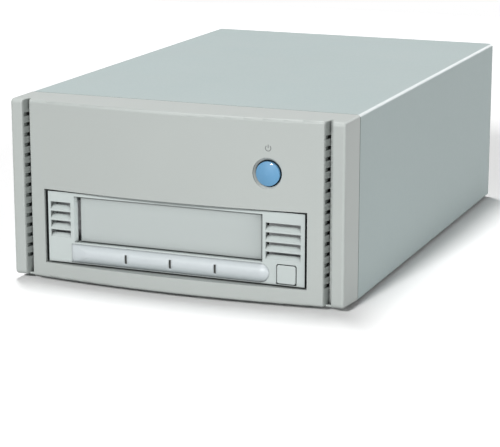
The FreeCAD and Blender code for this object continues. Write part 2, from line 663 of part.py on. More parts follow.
def make_power_shelf():
    """Bridge over the drive that carries the power supply."""
    piece = Piece("power_shelf")
    low = "tray_z + sheet_t"
    out, t = "tray_half - sheet_t", "bracket_t"
    top = "shelf_z + " + t
    right = [
        ("%s - 7.5" % out, low), (out, low), (out, top),
    ]
    left_side = [("-(%s)" % x, z) for x, z in reversed(right)]
    inner = [
        ("-(%s) + 7.5" % out, "%s + %s" % (low, t)), ("-(%s) + %s" % (out, t), "%s + %s" % (low, t)),
        ("-(%s) + %s" % (out, t), "shelf_z"), ("%s - %s" % (out, t), "shelf_z"),
        ("%s - %s" % (out, t), "%s + %s" % (low, t)), ("%s - 7.5" % out, "%s + %s" % (low, t)),
    ]
    piece.pad("XZ", "shelf_front", "shelf_rear - shelf_front", right + left_side + inner)
    posts = [circle(x, y, "3") for x, y in board_holes()]
    piece.pad("XY", "shelf_z + 0.2", "bracket_t + standoff - 0.2", *posts)
    for x, long, width, count in (("4", "100", "55", "6"), ("-70", "64", "48", "5")):
        vent = piece.cut("XY", "shelf_z - 1", "bracket_t + 2", block(x, "168", "6", long))
        piece.row(vent, "X", width, count)
    piece.cut("XY", "0", "4", *[circle(x, y, "screw_r + screw_fit") for x, y in SHELF_SCREWS])
    for start in ("-tray_half", "tray_half - sheet_t - bracket_t - 1"):
        slot = piece.cut("YZ", start, "bracket_t + 2.5", block("115", "30", "4", "30"))
        piece.row(slot, "Y", "96", "9")


def board_holes():
    near_x, near_y = "board_w / 2 - 5", "board_d / 2 - 5"
    return [("board_x %s (%s)" % (a, near_x), "board_y %s (%s)" % (b, near_y)) for a in "-+" for b in "-+"]


# ---------------------------------------------------------------------------------------------
# Groups of identical fasteners
# ---------------------------------------------------------------------------------------------
def screw_shape(head_r, head, shank_r, length):
    """Pan-head screw along +Z, its head's underside at z = 0."""
    outline = [
        Vector(0, 0, -head), Vector(head_r * 0.6, 0, -head), Vector(head_r, 0, -head * 0.45), Vector(head_r, 0, 0),
        Vector(shank_r, 0, 0), Vector(shank_r, 0, length - 0.4), Vector(shank_r - 0.4, 0, length), Vector(0, 0, length),
    ]
    half = Part.Face(Part.makePolygon(outline + [outline[0]]))
    return half.revolve(Vector(0, 0, 0), Vector(0, 0, 1), 360)


def screw_group(label, seats, length, head_r="screw_head_r", head="screw_head", shank_r="screw_r"):
    """Screws in one node.  A seat is where the head's underside sits, and the way the shank points."""
    screws = []
    base = screw_shape(size_of(head_r), size_of(head), size_of(shank_r), size_of(length))
    for (x, y, z), way in seats:
        screw = base.copy()
        screw.Placement = Placement(Vector(size_of(x), size_of(y), size_of(z)), Rotation(Vector(0, 0, 1), Vector(*way)))
        screws.append(screw)
    return plain_feature(label, Part.makeCompound(screws))


def plain_feature(label, shape, x="0", y="0", z="0"):
    """A sub-part made with Part's own functions."""
    item = doc.addObject("Part::Feature", label)
    item.Label = label
    item.Shape = shape
    place(item, x, y, z)
    NODES.append(item)
    return item


def make_screws():
    low = "tray_z + sheet_t"
    floor = [((x, y, low + " + bracket_t"), (0, 0, -1)) for x, y in RAIL_SCREWS + SHELF_SCREWS]
    floor += [((x, y, low + " + sheet_t"), (0, 0, -1)) for x, y in REAR_SCREWS]
    screw_group("chassis_screws", floor, "bracket_t + sheet_t")
    screw_group("foot_screws", [((x, y, "1.6 - foot_tall"), (0, 0, 1)) for x, y in FEET], "5", head="1.1")
    back = "rear_y + 2 * sheet_t"
    screw_group("cover_screws", [((x, back, "case_tall - 6"), (0, -1, 0)) for x in COVER_SCREW_X], "6")
    sides = []
    for side, way in (("-", (1, 0, 0)), ("", (-1, 0, 0))):
        sides += [(("%s(chassis_half + bracket_t)" % side, y, "chassis_low + 10"), way) for y in SIDE_SCREW_Y]
    lid = [((x, y, "chassis_high + lid_t"), (0, 0, -1)) for x, y in LID_SCREWS]
    screw_group("drive_screws", sides + lid, "3.2", shank_r="screw_r - 0.2", head="1.0", head_r="2.4")
    fan = []
    inlet = []
    for side in ("-", "+"):
        inlet.append((("inlet_x %s inlet_pitch / 2" % side, "rear_y + sheet_t + 2.4", "inlet_z"), (0, -1, 0)))
        for up in ("-", "+"):
            where = ("fan_x %s fan_pitch / 2" % side, "rear_y + sheet_t", "fan_z %s fan_pitch / 2" % up)
            fan.append((where, (0, -1, 0)))
    screw_group("fan_screws", fan, "10")
    screw_group("inlet_screws", inlet, "8")
    bracket = [(("button_x %s boss_off" % side, "plate_y + bracket_t", "button_z"), (0, -1, 0)) for side in ("-", "+")]
    screw_group("bracket_screws", bracket, "8")


LID_SCREWS = (("-67", "15"), ("67", "15"), ("-67", "199"), ("67", "199"))


# ---------------------------------------------------------------------------------------------
# Power button and switch
# ---------------------------------------------------------------------------------------------
def make_power_button():
    """Domed cap with a retaining flange and a stem that reaches into the switch."""
    piece = Piece("power_button", "button_x", "0", "button_z")
    profile = [
        ("button_tip", "0"), ("stem_end", "0"), ("stem_end", "stem_r"), ("flange_y + 1.4", "stem_r"),
        ("flange_y + 1.4", "flange_r"), ("flange_y", "flange_r"), ("flange_y", "button_r"),
        ("button_rim", "button_r", (("button_tip + (button_rim - button_tip) * 0.27", "button_r * 0.55"), "on axis")),
    ]
    piece.turn("YZ", profile, "H_Axis")


def make_switch():
    piece = Piece("power_switch", "button_x", "0", "button_z")
    back = "plate_y + bracket_t"
    piece.pad("XZ", back, "15", block("0", "0", "17", "15"))
    piece.cut("XZ", back + " - 1", "9.5", circle("0", "0", "stem_r + 0.35"))
    for x in ("-5", "0", "5"):
        piece.pad("XZ", back + " + 14.5", "5", block(x, "3", "1", "3"))
    piece.soften("1", lambda box: box.YLength > 14 and near(abs(box.XMin), 8.5) and near(abs(box.ZMin), 7.5)
                 and box.XLength < 0.1)
    bracket = Piece("switch_bracket", "button_x", "0", "button_z")
    bracket.pad("XZ", "plate_y", "bracket_t", block("0", "0", "boss_off * 2 + 9", "18"))
    bracket.pad("XY", "9 - bracket_t", "bracket_t", rect("-boss_off - 4.5", "plate_y", "boss_off + 4.5", "plate_y + 9"))
    bracket.cut("XZ", "plate_y - 1", "bracket_t + 2", circle("0", "0", "stem_r + 0.5"),
                *[circle("%sboss_off" % side, "0", "screw_r + screw_fit") for side in ("-", "")])


def coil(label, turns, radius, wire, length, x, y, z, way):
    """Compression spring of square wire, its lower end at its own origin, pointing along way."""
    slack = 0.15
    half = wire / 2
    pitch = (length - wire - 2 * slack) / turns
    helix = Part.makeHelix(pitch, pitch * turns, radius)
    corners = [Vector(radius + a * half, 0, b * half) for a, b in ((-1, -1), (1, -1), (1, 1), (-1, 1), (-1, -1))]
    shape = Part.Wire(helix).makePipeShell([Part.makePolygon(corners)], True, True)
    start = ["(%s) + %s" % (at, (half + slack) * step) for at, step in zip((x, y, z), way)]
    item = plain_feature(label, shape, *start)
    item.Placement.Rotation = Rotation(Vector(0, 0, 1), Vector(*way))
    return item


# ---------------------------------------------------------------------------------------------
# Power supply
# ---------------------------------------------------------------------------------------------
def make_power_supply():
    under = "shelf_z + bracket_t + standoff"
    top = under + " + board_t"
    board = Piece("power_board")
    board.pad("XY", under, "board_t", block("board_x", "board_y", "board_w", "board_d"))
    board.pad("XY", top, "2.2", block("board_x - 20", "board_y - 46", "14", "9"), block("board_x + 33", "board_y", "9", "12"))
    board.pad("XY", top, "8.5", block("board_x + 30", "board_y + 44", "10", "20"), block("board_x - 30", "board_y + 50", "14", "9"))

    core = Piece("transformer", "board_x - 8", "board_y - 8", top)
    core.pad("XY", "0", "4", block("0", "0", "34", "36"))
    core.pad("XY", "0", "26", block("0", "0", "14", "36"))
    core.pad("XY", "22", "4", block("0", "0", "34", "36"))
    for side in ("-", "+"):
        core.pad("XY", "0", "26", block("0 %s 14.5" % side, "0", "5", "36"))
    core.pad("XY", "4", "18", block("0", "0", "22", "44"))
    core.soften("4", lambda box: near(box.ZLength, 18) and near(abs(box.XMin), 11) and near(abs(box.YMin), 22))

    caps = Piece("bulk_capacitors")
    for x in ("board_x - 26", "board_x - 4"):
        caps.pad("XY", top, "27", circle(x, "board_y + 34", "9"))
    caps.soften("1.2", lambda box: box.ZLength < 0.1 and near(box.ZMin, size_of(top + " + 27")))

    sink = Piece("heat_sink", "board_x + 18", "board_y", top)
    sink.pad("XY", "0", "25", block("0", "0", "3", "64"))
    fin = sink.pad("YZ", "-9", "18", block("-30", "12.5", "1.4", "25"))
    sink.row(fin, "Y", "60", "11")


# ---------------------------------------------------------------------------------------------
# Rear connectors, address selector and fan
# ---------------------------------------------------------------------------------------------
def make_mains_inlet():
    """Chassis inlet: flange outside, body inside, a deep socket with three pins."""
    piece = Piece("mains_inlet", "inlet_x", "rear_y + sheet_t", "inlet_z")
    w, tall = "inlet_w / 2", "inlet_tall / 2"
    body = [
        ("-" + w, "-" + tall), (w, "-" + tall), (w, tall + " - 5"), (w + " - 5", tall), ("-(%s) + 5" % w, tall),
        ("-" + w, tall + " - 5"),
    ]
    piece.pad("XZ", "-20", "20.5", body)
    piece.pad("XZ", "0", "2.4", block("0", "0", "inlet_flange_w", "inlet_flange_tall"))
    piece.soften("4", lambda box: near(box.YLength, 2.4) and near(abs(box.XMin), 25) and box.XLength < 0.1)
    socket = [
        ("-(%s) + 1.7" % w, "-(%s) + 1.7" % tall), (w + " - 1.7", "-(%s) + 1.7" % tall), (w + " - 1.7", tall + " - 6"),
        (w + " - 6", tall + " - 1.7"), ("-(%s) + 6" % w, tall + " - 1.7"), ("-(%s) + 1.7" % w, tall + " - 6"),
    ]
    piece.cut("XZ", "-15", "18", socket)
    pins = [block("-7", "-2", "2", "4"), block("0", "2", "2", "4"), block("7", "-2", "2", "4")]
    piece.pad("XZ", "-27", "22", *pins)
    holes = [circle("%sinlet_pitch / 2" % side, "0", "screw_r + screw_fit") for side in ("-", "")]
    piece.cut("XZ", "-1", "4", *holes)


def make_port(label, z):
    """Shielded high-density connector with a jack post on each side."""
    piece = Piece(label, "port_x", "rear_y", z)
    piece.pad("XZ", "-10", "10", block("0", "0", "port_w + 16", "port_tall + 2"))
    piece.pad("XZ", "-4", "9", block("0", "0", "port_w", "port_tall"))
    piece.soften("2.5", lambda box: near(box.YLength, 5) and near(abs(box.XMin), 22) and box.XLength < 0.1)
    piece.cut("XZ", "1", "5", block("0", "0", "port_w - 4", "3.8"))
    posts = [circle("%sjack_off" % side, "0", "screw_r") for side in ("-", "")]
    piece.pad("XZ", "-1", "2.5", *posts)
    for side in ("-", ""):
        hexagon = [("%sjack_off + %s" % (side, u), v) for u, v in regular("2.8", 6)]
        piece.pad("XZ", "sheet_t", "rear_reach + 1", hexagon)


def make_selector():
    """Address selector: a number wheel in a window between two push buttons."""
    case = Piece("id_selector", "selector_x", "rear_y + sheet_t", "selector_z")
    case.pad("XZ", "0", "1.2", block("0", "0", "selector_w", "selector_tall"))
    case.pad("XZ", "-16", "16.5", block("0", "0", "selector_w - 2.2", "selector_tall - 2.2"))
    half = "(wheel_w / 2 + 0.4)"
    case.cut("XZ", "-13", "12.5", block("0", "0", "2 * " + half, "selector_tall - 3.6"))
    case.cut("XZ", "-1", "3", block("0", "0", "2 * " + half, "5.6"))
    case.pad("YZ", "-%s - 0.3" % half, "2 * %s + 0.6" % half, circle("-wheel_r - 1.2", "0", "1"))
    for side in ("-", ""):
        case.cut("XZ", "-6", "8", circle("%s7.6" % side, "0", "1.9"))

    wheel = Piece("id_wheel", "selector_x", "rear_y + sheet_t - wheel_r - 1.2", "selector_z")
    wheel.pad("YZ", "-wheel_w / 2", "wheel_w", regular("wheel_r - 0.4", 10))
    wheel.cut("YZ", "-wheel_w / 2 - 1", "wheel_w + 2", circle("0", "0", "1 + running"))

    for label, side in (("id_button_down", "-"), ("id_button_up", "")):
        button = Piece(label, "selector_x + %s7.6" % side, "rear_y + sheet_t", "selector_z")
        button.pad("XZ", "-4.2", "6.2", circle("0", "0", "1.6"))
        button.soften("0.4", lambda box: near(box.YMax, 2.0) and box.YLength < 0.05)


def regular(radius, count):
    """A regular polygon round the sketch's origin."""
    corners = []
    for i in range(count):
        angle = 2 * math.pi * i / count
        corners.append(("(%s) * %.5f" % (radius, math.cos(angle)), "(%s) * %.5f" % (radius, math.sin(angle))))
    return corners


def make_fan():
    frame = Piece("fan_frame", "fan_x", "rear_y", "fan_z")
    frame.pad("XZ", "-fan_d", "fan_d", block("0", "0", "fan_size", "fan_size"))
    frame.soften("4", lambda box: near(box.YLength, 20) and near(abs(box.XMin), 30) and box.XLength < 0.1)
    frame.cut("XZ", "-fan_d - 1", "fan_d + 2", circle("0", "0", "fan_bore"))
    corner = [circle("%sfan_pitch / 2" % a, "%sfan_pitch / 2" % b, "screw_r + screw_fit") for a in ("-", "") for b in ("-", "")]
    frame.cut("XZ", "-fan_d - 1", "fan_d + 2", *corner)
    notch = [rect("-fan_size / 2 - 1", "-14", "-fan_size / 2 + 0.6", "14"), rect("fan_size / 2 - 0.6", "-14", "fan_size / 2 + 1", "14")]
    frame.cut("XZ", "-fan_d + 3", "fan_d - 6", *notch)
    frame.pad("XZ", "-3", "3", circle("0", "0", "fan_hub"))
    strut = frame.pad("XZ", "-3", "3", rect("fan_hub - 1", "-1.6", "fan_bore + 0.5", "1.6"))
    frame.ring(strut, "Y", "4")
    frame.pad("XZ", "-16", "13.5", circle("0", "0", "2"))

    rotor = Piece("fan_rotor", "fan_x", "rear_y - fan_d / 2", "fan_z")
    cup = [
        ("-9", "0"), ("-9", "fan_hub - 1.5"), ("-7.5", "fan_hub"), ("6.5", "fan_hub"), ("6.5", "fan_hub - 1.6"), ("-7", "fan_hub - 1.6"),
        ("-7", "4.5"), ("2", "4.5"), ("2", "2 + running"), ("-7", "2 + running"), ("-7", "0"),
    ]
    rotor.turn("YZ", cup, "H_Axis")
    blade = [("-7", "-4.6"), ("-5.8", "-5.2"), ("6.4", "3.2"), ("5", "3.9")]
    first = rotor.pad("YZ", "fan_hub - 0.8", "fan_tip - fan_hub + 0.8", blade)
    rotor.ring(first, "Y", "fan_blades")


# ---------------------------------------------------------------------------------------------
# Tape drive: front
# ---------------------------------------------------------------------------------------------
def make_drive_bezel():
    """Thin moulded front with louvres, the cartridge aperture, the status bar's seat and the eject hole."""
    piece = Piece("drive_bezel")
    outline = rect("-drive_half", "drive_low", "drive_half", "drive_high")
    piece.pad("XZ", "face_y", "chassis_y - face_y", outline)
    cavity = rect("-drive_half + 1.6", "drive_low + 1.6", "drive_half - 1.6", "drive_high - 1.6")
    piece.cut("XZ", "face_y + face_t", "chassis_y - face_y", cavity)
    aperture = rect("slot_left", "slot_low", "slot_right", "slot_high")
    piece.cut("XZ", "face_y - 1", "face_t + 2", aperture)
    flare = [
        ("slot_left", "face_y + face_t"), ("slot_left - slot_flare", "face_y"), ("slot_left - slot_flare", "face_y - 1"),
        ("slot_left + 1", "face_y - 1"), ("slot_left + 1", "face_y + face_t"),
    ]
    piece.cut("XY", "slot_low", "slot_high - slot_low", flare)
    relief = rect("slot_left", "slot_high - 0.2", "slot_right", "drive_high + 1")
    piece.cut("XZ", "hinge_y - barrel_r - 0.4", "8", relief)
    for x, wide in (("slot_left - 2.4", "2.4"), ("slot_right", "2.4")):
        piece.pad("XZ", "face_y + 1", "5.4", rect(x, "slot_high - 3", "%s + %s" % (x, wide), "drive_high"))
    pin = circle("hinge_y", "hinge_z", "pin_r")
    piece.cut("YZ", "slot_left - 1.6", "slot_right - slot_left + 3.2", pin)

    # sill under the aperture, so that the door closes above a floor
    piece.pad("XZ", "face_y + 1", "4", rect("slot_left - 1.5", "slot_low - 1.5", "slot_right + 1.5", "slot_low"))

    # louvres: a slot under each overhang, with a ramp down to the face
    ramp = [
        ("face_y - 0.5", "louvre_top"), ("face_y + face_t + 0.5", "louvre_top"),
        ("face_y + face_t + 0.5", "louvre_top - louvre_slot"), ("face_y + face_t - 0.6", "louvre_top - louvre_slot"),
        ("face_y - 0.5", "louvre_top - louvre_tall - 0.4"),
    ]
    for x, wide, drop in (("louvre_left_x", "louvre_left_w", 0.0), ("louvre_right_x", "louvre_right_w", 0.4)):
        lowered = [(y, "%s - %.1f" % (z, drop)) for y, z in ramp]
        first = piece.cut("YZ", x, wide, lowered)
        piece.row(first, "Z", "louvre_pitch * 3", "4", back=True)

    # seat of the status bar, slots of its lenses, hole of the eject button
    piece.cut("XZ", "face_y - 1", "bar_seat - face_y + 1", bar_outline("0.05"))
    piece.cut("XZ", "face_y - 1", "face_t + 2", *lens_slots("0"))
    eject_hole = block("eject_x", "eject_z", "eject_w + 2 * eject_gap", "eject_tall + 2 * eject_gap")
    piece.cut("XZ", "face_y - 1", "face_t + 2", eject_hole)
    side = size_of("eject_w / 2 + eject_gap")
    piece.soften("1.2", lambda box: near(box.YLength, size_of("face_t")) and near(abs(box.XMin - size_of("eject_x")), side)
                 and box.ZMin < size_of("eject_z + eject_tall"))
    piece.cut("XZ", "face_y + face_t", "2", eject_hole)


def bar_outline(grow):
    """Pill outline of the status bar: square-ended on the left, round on the right."""
    low, high = "bar_low - " + grow, "bar_high + " + grow
    middle = "(bar_high + bar_low) / 2"
    centre = "bar_right - (bar_high - bar_low) / 2"
    return [
        ("bar_left - " + grow, low), (centre, low, (("bar_right + " + grow, middle), "centre", centre)),
        (centre, high), ("bar_left - " + grow, high),
    ]


def lens_slots(grow):
    slots = []
    for i in range(3):
        x = "lens_first + %d * lens_pitch" % i
        slots.append(rect("%s - lens_w / 2 - %s" % (x, grow), "lens_low - " + grow,
                          "%s + lens_w / 2 + %s" % (x, grow), "lens_high + " + grow))
    return slots


def make_drive_front():
    bar = Piece("status_bar")
    half, middle = "(bar_high - bar_low) / 2", "(bar_high + bar_low) / 2"
    rise = "(bar_rim - bar_y)"
    crown_r = "((%s) ^ 2 + %s ^ 2) / (2 * %s)" % (half, rise, rise)
    section = [
        ("bar_seat", "bar_low"), ("bar_seat", "bar_high"), ("bar_rim", "bar_high", (("bar_y", middle), crown_r)),
        ("bar_rim", "bar_low"),
    ]
    bar.pad("YZ", "bar_left", "bar_right - %s - bar_left" % half, section)
    dome = [
        ("bar_y", "0"), ("bar_seat", "0"), ("bar_seat", half),
        ("bar_rim", half, (("bar_y + %s * 0.3" % rise, half + " * 0.55"), "on axis")),
    ]
    bar.turn("YZ", dome, "H_Axis", start="bar_right - " + half, up=middle)
    fade = [("bar_left - 1", "bar_rim"), ("bar_left", "bar_rim"), ("bar_left + bar_fade", "bar_y"), ("bar_left - 1", "bar_y")]
    bar.cut("XY", "bar_low - 1", "bar_high - bar_low + 2", fade)
    bar.cut("XZ", "bar_y - 1", "4", *lens_slots("0"))

    lenses = Piece("status_lenses")
    lenses.pad("XZ", "bar_y + 0.35", "chassis_y - bar_y - 0.35", *lens_slots("0"))

    eject = Piece("eject_button", "eject_x", "0", "eject_z")
    eject.pad("XZ", "eject_y", "3.4", block("0", "0", "eject_w", "eject_tall"))
    eject.soften("1.2", lambda box: box.YLength > 3 and box.XLength < 0.1)
    eject.soften("0.5", lambda box: near(box.YMax, size_of("eject_y")) and box.YLength < 0.05)
    eject.pad("XZ", "face_y + face_t + 0.35", "0.9", block("0", "0", "eject_w + 2.4", "8.2"))
    eject.pad("XZ", "face_y + face_t + 1.2", "1.9", circle("0", "0", "1.6"))

    door = Piece("tape_door")
    left, right = "slot_left + door_gap", "slot_right - door_gap"
    door.pad("XZ", "door_y", "door_t", rect(left, "door_low", right, "hinge_z"))
    door.soften("0.8", lambda box: box.ZLength > 20 and near(box.YMax, size_of("door_y")) and box.YLength < 0.05)
    barrel = circle("hinge_y", "hinge_z", "barrel_r")
    door.pad("YZ", left, "%s - (%s)" % (right, left), barrel)
    door.cut("YZ", left + " - 1", "%s - (%s) + 2" % (right, left), circle("hinge_y", "hinge_z", "pin_r + running"))
    ribs = [rect(x, "door_low + 3", "%s + 1" % x, "hinge_z - 4") for x in ("-40", "-4", "32")]
    door.pad("XZ", "door_y + door_t - 0.2", "0.5", *ribs)

    pin = Piece("door_pin", "slot_left - 1.6", "hinge_y", "hinge_z")
    pin.pad("YZ", "0", "slot_right - slot_left + 3.2", circle("0", "0", "pin_r"))


# ---------------------------------------------------------------------------------------------
# Tape drive: casting, cartridge tray, reels, rollers and head
# ---------------------------------------------------------------------------------------------
def make_drive_base():
    """Die-cast base: an H section with a deck, a front wall, bosses, spindles and guide posts."""
    piece = Piece("drive_base")
    half, t = "chassis_half", "chassis_t"
    section = [
        ("-" + half, "chassis_low"), ("-%s + %s" % (half, t), "chassis_low"), ("-%s + %s" % (half, t), "deck_low"),
        ("%s - %s" % (half, t), "deck_low"), ("%s - %s" % (half, t), "chassis_low"), (half, "chassis_low"),
        (half, "chassis_high"), ("%s - %s" % (half, t), "chassis_high"), ("%s - %s" % (half, t), "deck_high"),
        ("-%s + %s" % (half, t), "deck_high"), ("-%s + %s" % (half, t), "chassis_high"), ("-" + half, "chassis_high"),
    ]
    piece.pad("XZ", "chassis_y", "chassis_d", section)
    wall = rect("-%s + 1" % half, "chassis_low", "%s - 1" % half, "chassis_high")
    piece.pad("XZ", "chassis_y", t, wall)
    piece.pad("XZ", "chassis_y + chassis_d - " + t, t, wall)
    mouth = rect("slot_left - 0.8", "tray_low", "slot_right + 0.8", "chassis_high + 1")
    piece.cut("XZ", "chassis_y - 1", t + " + 2", mouth)
    rear_notch = rect("-46", "chassis_low - 1", "6", "tray_low + 1")
    power_notch = rect("22", "chassis_low - 1", "48", "tray_low + 1")
    piece.cut("XZ", "chassis_y + chassis_d - 10", "12", rear_notch, power_notch)
    rear_vent = piece.cut("XZ", "chassis_y + chassis_d - 4", "6", block("-60", "34", "3", "16"))
    piece.row(rear_vent, "X", "120", "13")

    # deck: motor seats, bosses and spindles
    motors = [circle("supply_x", "supply_y", "motor_r + 0.2"), circle("takeup_x", "takeup_y", "motor_r + 0.2")]
    piece.cut("XY", "deck_low - 1", "deck_high - deck_low + 2", *motors)
    columns = [circle(x, y, "3.2") for x, y in LID_SCREWS]
    piece.pad("XY", "deck_high - 1", "chassis_high - deck_high + 1", *columns)
    posts = [circle(x, y, "3") for x, y in TRAY_POSTS]
    piece.pad("XY", "deck_high - 1", "tray_low - deck_high + 1", *posts)
    board_posts = [circle(x, y, "3") for x, y in BOARD_POSTS]
    piece.pad("XY", "motor_low - 0.2", "deck_low - motor_low + 0.7", *board_posts)
    spindles = [circle(x, y, "spindle_r") for x, y in ROLLERS]
    piece.pad("XY", "deck_high - 1", "roller_high - deck_high + 1.6", *spindles)
    collars = [circle(x, y, "spindle_r + 1.6") for x, y in ROLLERS]
    piece.pad("XY", "deck_high - 1", "roller_low - deck_high + 0.7", *collars)
    guides = [circle("head_x", "head_y %s post_off" % side, "post_r") for side in ("-", "+")]
    piece.pad("XY", "deck_high - 1", "24", *guides)

    # stiffening ribs of the side walls, tapped holes
    rib = piece.pad("XY", "deck_high - 0.5", "20", rect("-%s + 1" % half, "132", "-%s + 4" % half, "133.6"))
    piece.row(rib, "Y", "40", "3")
    side_holes = [circle(y, "chassis_low + 10", "screw_r - 0.2 + running") for y in SIDE_SCREW_Y]
    piece.cut("YZ", "-%s - 1" % half, t + " + 1.5", *side_holes)
    piece.cut("YZ", "%s - %s - 0.5" % (half, t), t + " + 1.5", *side_holes)
    piece.cut("XY", "chassis_high - 4", "5", *[circle(x, y, "screw_r - 0.2 + running") for x, y in LID_SCREWS])


TRAY_POSTS = (("-50", "24"), ("42", "24"), ("-50", "100"), ("42", "100"))
BOARD_POSTS = (("-62", "28"), ("62", "28"), ("-62", "190"), ("62", "190"))
ROLLERS = (("34", "121"), ("52", "124.5"), ("52", "157.5"))


def make_drive_lid():
    """Pressed lid with two shallow stiffening beads."""
    piece = Piece("drive_lid")
    outline = rect("-chassis_half", "chassis_y", "chassis_half", "chassis_y + chassis_d")
    piece.pad("XY", "chassis_high", "lid_t", outline)
    beads = [rect("-50", "40", "44", "44"), rect("-50", "112", "44", "116")]
    piece.pad("XY", "chassis_high + 0.4", "1.2", *beads)
    piece.cut("XY", "chassis_high - 1", "4", *[circle(x, y, "screw_r + screw_fit") for x, y in LID_SCREWS])


def make_cartridge_tray():
    """Guides the cartridge: a floor with a hole for the hub, two walls with lips and a rear stop."""
    piece = Piece("cartridge_tray")
    left, right, t = "slot_left + 0.4", "slot_right - 0.4", "tray_wall_t"
    floor_top = "tray_low + tray_floor_t"
    top = "slot_high + 0.3"
    section = [
        ("%s - %s" % (left, t), "tray_low"), ("%s + %s" % (right, t), "tray_low"), ("%s + %s" % (right, t), top + " + 1"),
        (right + " - 4", top + " + 1"), (right + " - 4", top), (right, top), (right, floor_top), (left, floor_top), (left, top),
        (left + " + 4", top), (left + " + 4", top + " + 1"), ("%s - %s" % (left, t), top + " + 1"),
    ]
    piece.pad("XZ", "tray_y", "tray_back - tray_y", section)
    lips = rect(left, "tray_y - 1", right, "tray_y + 24")
    piece.cut("XY", top + " - 0.01", "3", lips)
    stop = rect(left + " - 0.5", "tray_low", "8", "38")
    piece.pad("XZ", "tray_back - " + t, t, stop)
    piece.cut("XY", "tray_low - 1", "tray_floor_t + 2", circle("supply_x", "supply_y", "18"))


def make_reel_motor(label, x, y):
    """Flat motor hung in the deck: a can, a flange on the deck and a bore for the shaft."""
    piece = Piece(label, x, y, "0")
    profile = [
        ("shaft_r + running", "motor_low"), ("motor_r", "motor_low"), ("motor_r", "deck_high"), ("motor_r + 3", "deck_high"),
        ("motor_r + 3", "deck_high + 1"), ("10", "deck_high + 1"), ("8", "deck_high + 2.4"), ("shaft_r + running", "deck_high + 2.4"),
    ]
    piece.turn("XZ", profile)


def make_reels():
    make_reel_motor("supply_motor", "supply_x", "supply_y")
    make_reel_motor("takeup_motor", "takeup_x", "takeup_y")

    hub = Piece("supply_hub", "supply_x", "supply_y")
    profile = [
        ("0", "motor_low + 0.8"), ("shaft_r", "motor_low + 0.8"), ("shaft_r", "deck_high + 2.8"), ("15", "deck_high + 2.8"),
        ("15", "tray_low"), ("12", "tray_low"), ("12", "tray_low - 0.6"), ("4", "tray_low - 0.6"), ("2.4", "tray_low + 1.2"), ("0", "tray_low + 1.2"),
    ]
    hub.turn("XZ", profile)
    tooth = hub.pad("XY", "tray_low - 0.4", "1.6", [("12.2", "-1.3"), ("14.8", "-1.5"), ("14.8", "1.5"), ("12.2", "1.3")])
    hub.ring(tooth, "Z", "16")

    reel = Piece("takeup_reel", "takeup_x", "takeup_y")
    low, gap = "reel_low", "reel_gap"
    profile = [
        ("0", "motor_low + 0.8"), ("shaft_r", "motor_low + 0.8"), ("shaft_r", "deck_high + 2.8"), ("9", "deck_high + 2.8"),
        ("9", low), ("reel_r", low), ("reel_r", low + " + 1.2"), ("reel_core_r", low + " + 1.2"),
        ("reel_core_r", "%s + 1.2 + %s" % (low, gap)), ("reel_r", "%s + 1.2 + %s" % (low, gap)),
        ("reel_r", "%s + 2.4 + %s" % (low, gap)), ("0", "%s + 2.4 + %s" % (low, gap)),
    ]
    reel.turn("XZ", profile)
    window = [("21", "-6"), ("36", "-9"), ("36", "9"), ("21", "6")]
    first = reel.cut("XY", "reel_low + 1.2 + reel_gap - 1", "4", window)
    reel.ring(first, "Z", "5")
    slit = rect("reel_core_r - 6", "-1.2", "reel_core_r + 0.5", "1.2")
    reel.cut("XY", "reel_low + 1.2", "reel_gap", slit)


def make_rollers():
    for number, (x, y) in enumerate(ROLLERS, 1):
        piece = Piece("guide_roller_%d" % number, x, y)
        low, high = "roller_low", "roller_high"
        profile = [
            ("spindle_r + running", low), ("roller_flange_r", low), ("roller_flange_r", low + " + 1"),
            ("roller_r", low + " + 1.4"), ("roller_r", high + " - 1.4"), ("roller_flange_r", high + " - 1"),
            ("roller_flange_r", high), ("spindle_r + running", high),
        ]
        piece.turn("XZ", profile)


def make_head():
    """Read and write head on a carriage that steps up and down between two posts."""
    carriage = Piece("head_carriage", "head_x", "head_y", "0")
    carriage.pad("XY", "23", "11", block("0.4", "0", "7", "19.4"))
    bores = [circle("0", "%spost_off" % side, "post_r + running") for side in ("-", "")]
    carriage.cut("XY", "22", "13", circle("0", "0", "lead_r + running"), *bores)
    face = [
        ("-3.4", "-5", (("-4.4", "0"), "13")), ("-3.4", "5"), ("-2.6", "5"), ("-2.6", "-5"),
    ]
    carriage.pad("XY", "22.4", "12.2", face)
    screw = Piece("head_screw", "head_x", "head_y", "0")
    screw.pad("XY", "deck_high + 4.7", "19", circle("0", "0", "lead_r"))
    screw.pad("XY", "deck_high + 1.5", "3.4", circle("0", "0", "0.9"))
    motor = Piece("head_motor", "head_x", "head_y", "0")
    motor.pad("XY", "deck_high", "4.4", circle("0", "0", "4.2"))
    motor.cut("XY", "deck_high + 1", "4", circle("0", "0", "0.9 + running"))


def make_drive_board():
    top = "motor_low - 0.2"
    board = Piece("drive_board")
    board.pad("XY", top + " - 1.6", "1.6", rect("-68", "22", "68", "202"))
    cut = [circle("supply_x", "supply_y", "motor_r + 1"), circle("takeup_x", "takeup_y", "motor_r + 1")]
    board.cut("XY", top + " - 3", "4", *cut)
    board.pad("XY", top + " - 0.2", "1.4", block("44", "60", "24", "24"), block("44", "100", "16", "16"),
              block("-50", "110", "14", "20"), block("30", "140", "18", "18"))
    board.pad("XY", top + " - 0.2", "7.4", block("-20", "202", "50", "8"))
    board.pad("XY", top + " - 0.2", "7.0", block("35", "201", "22", "10"))


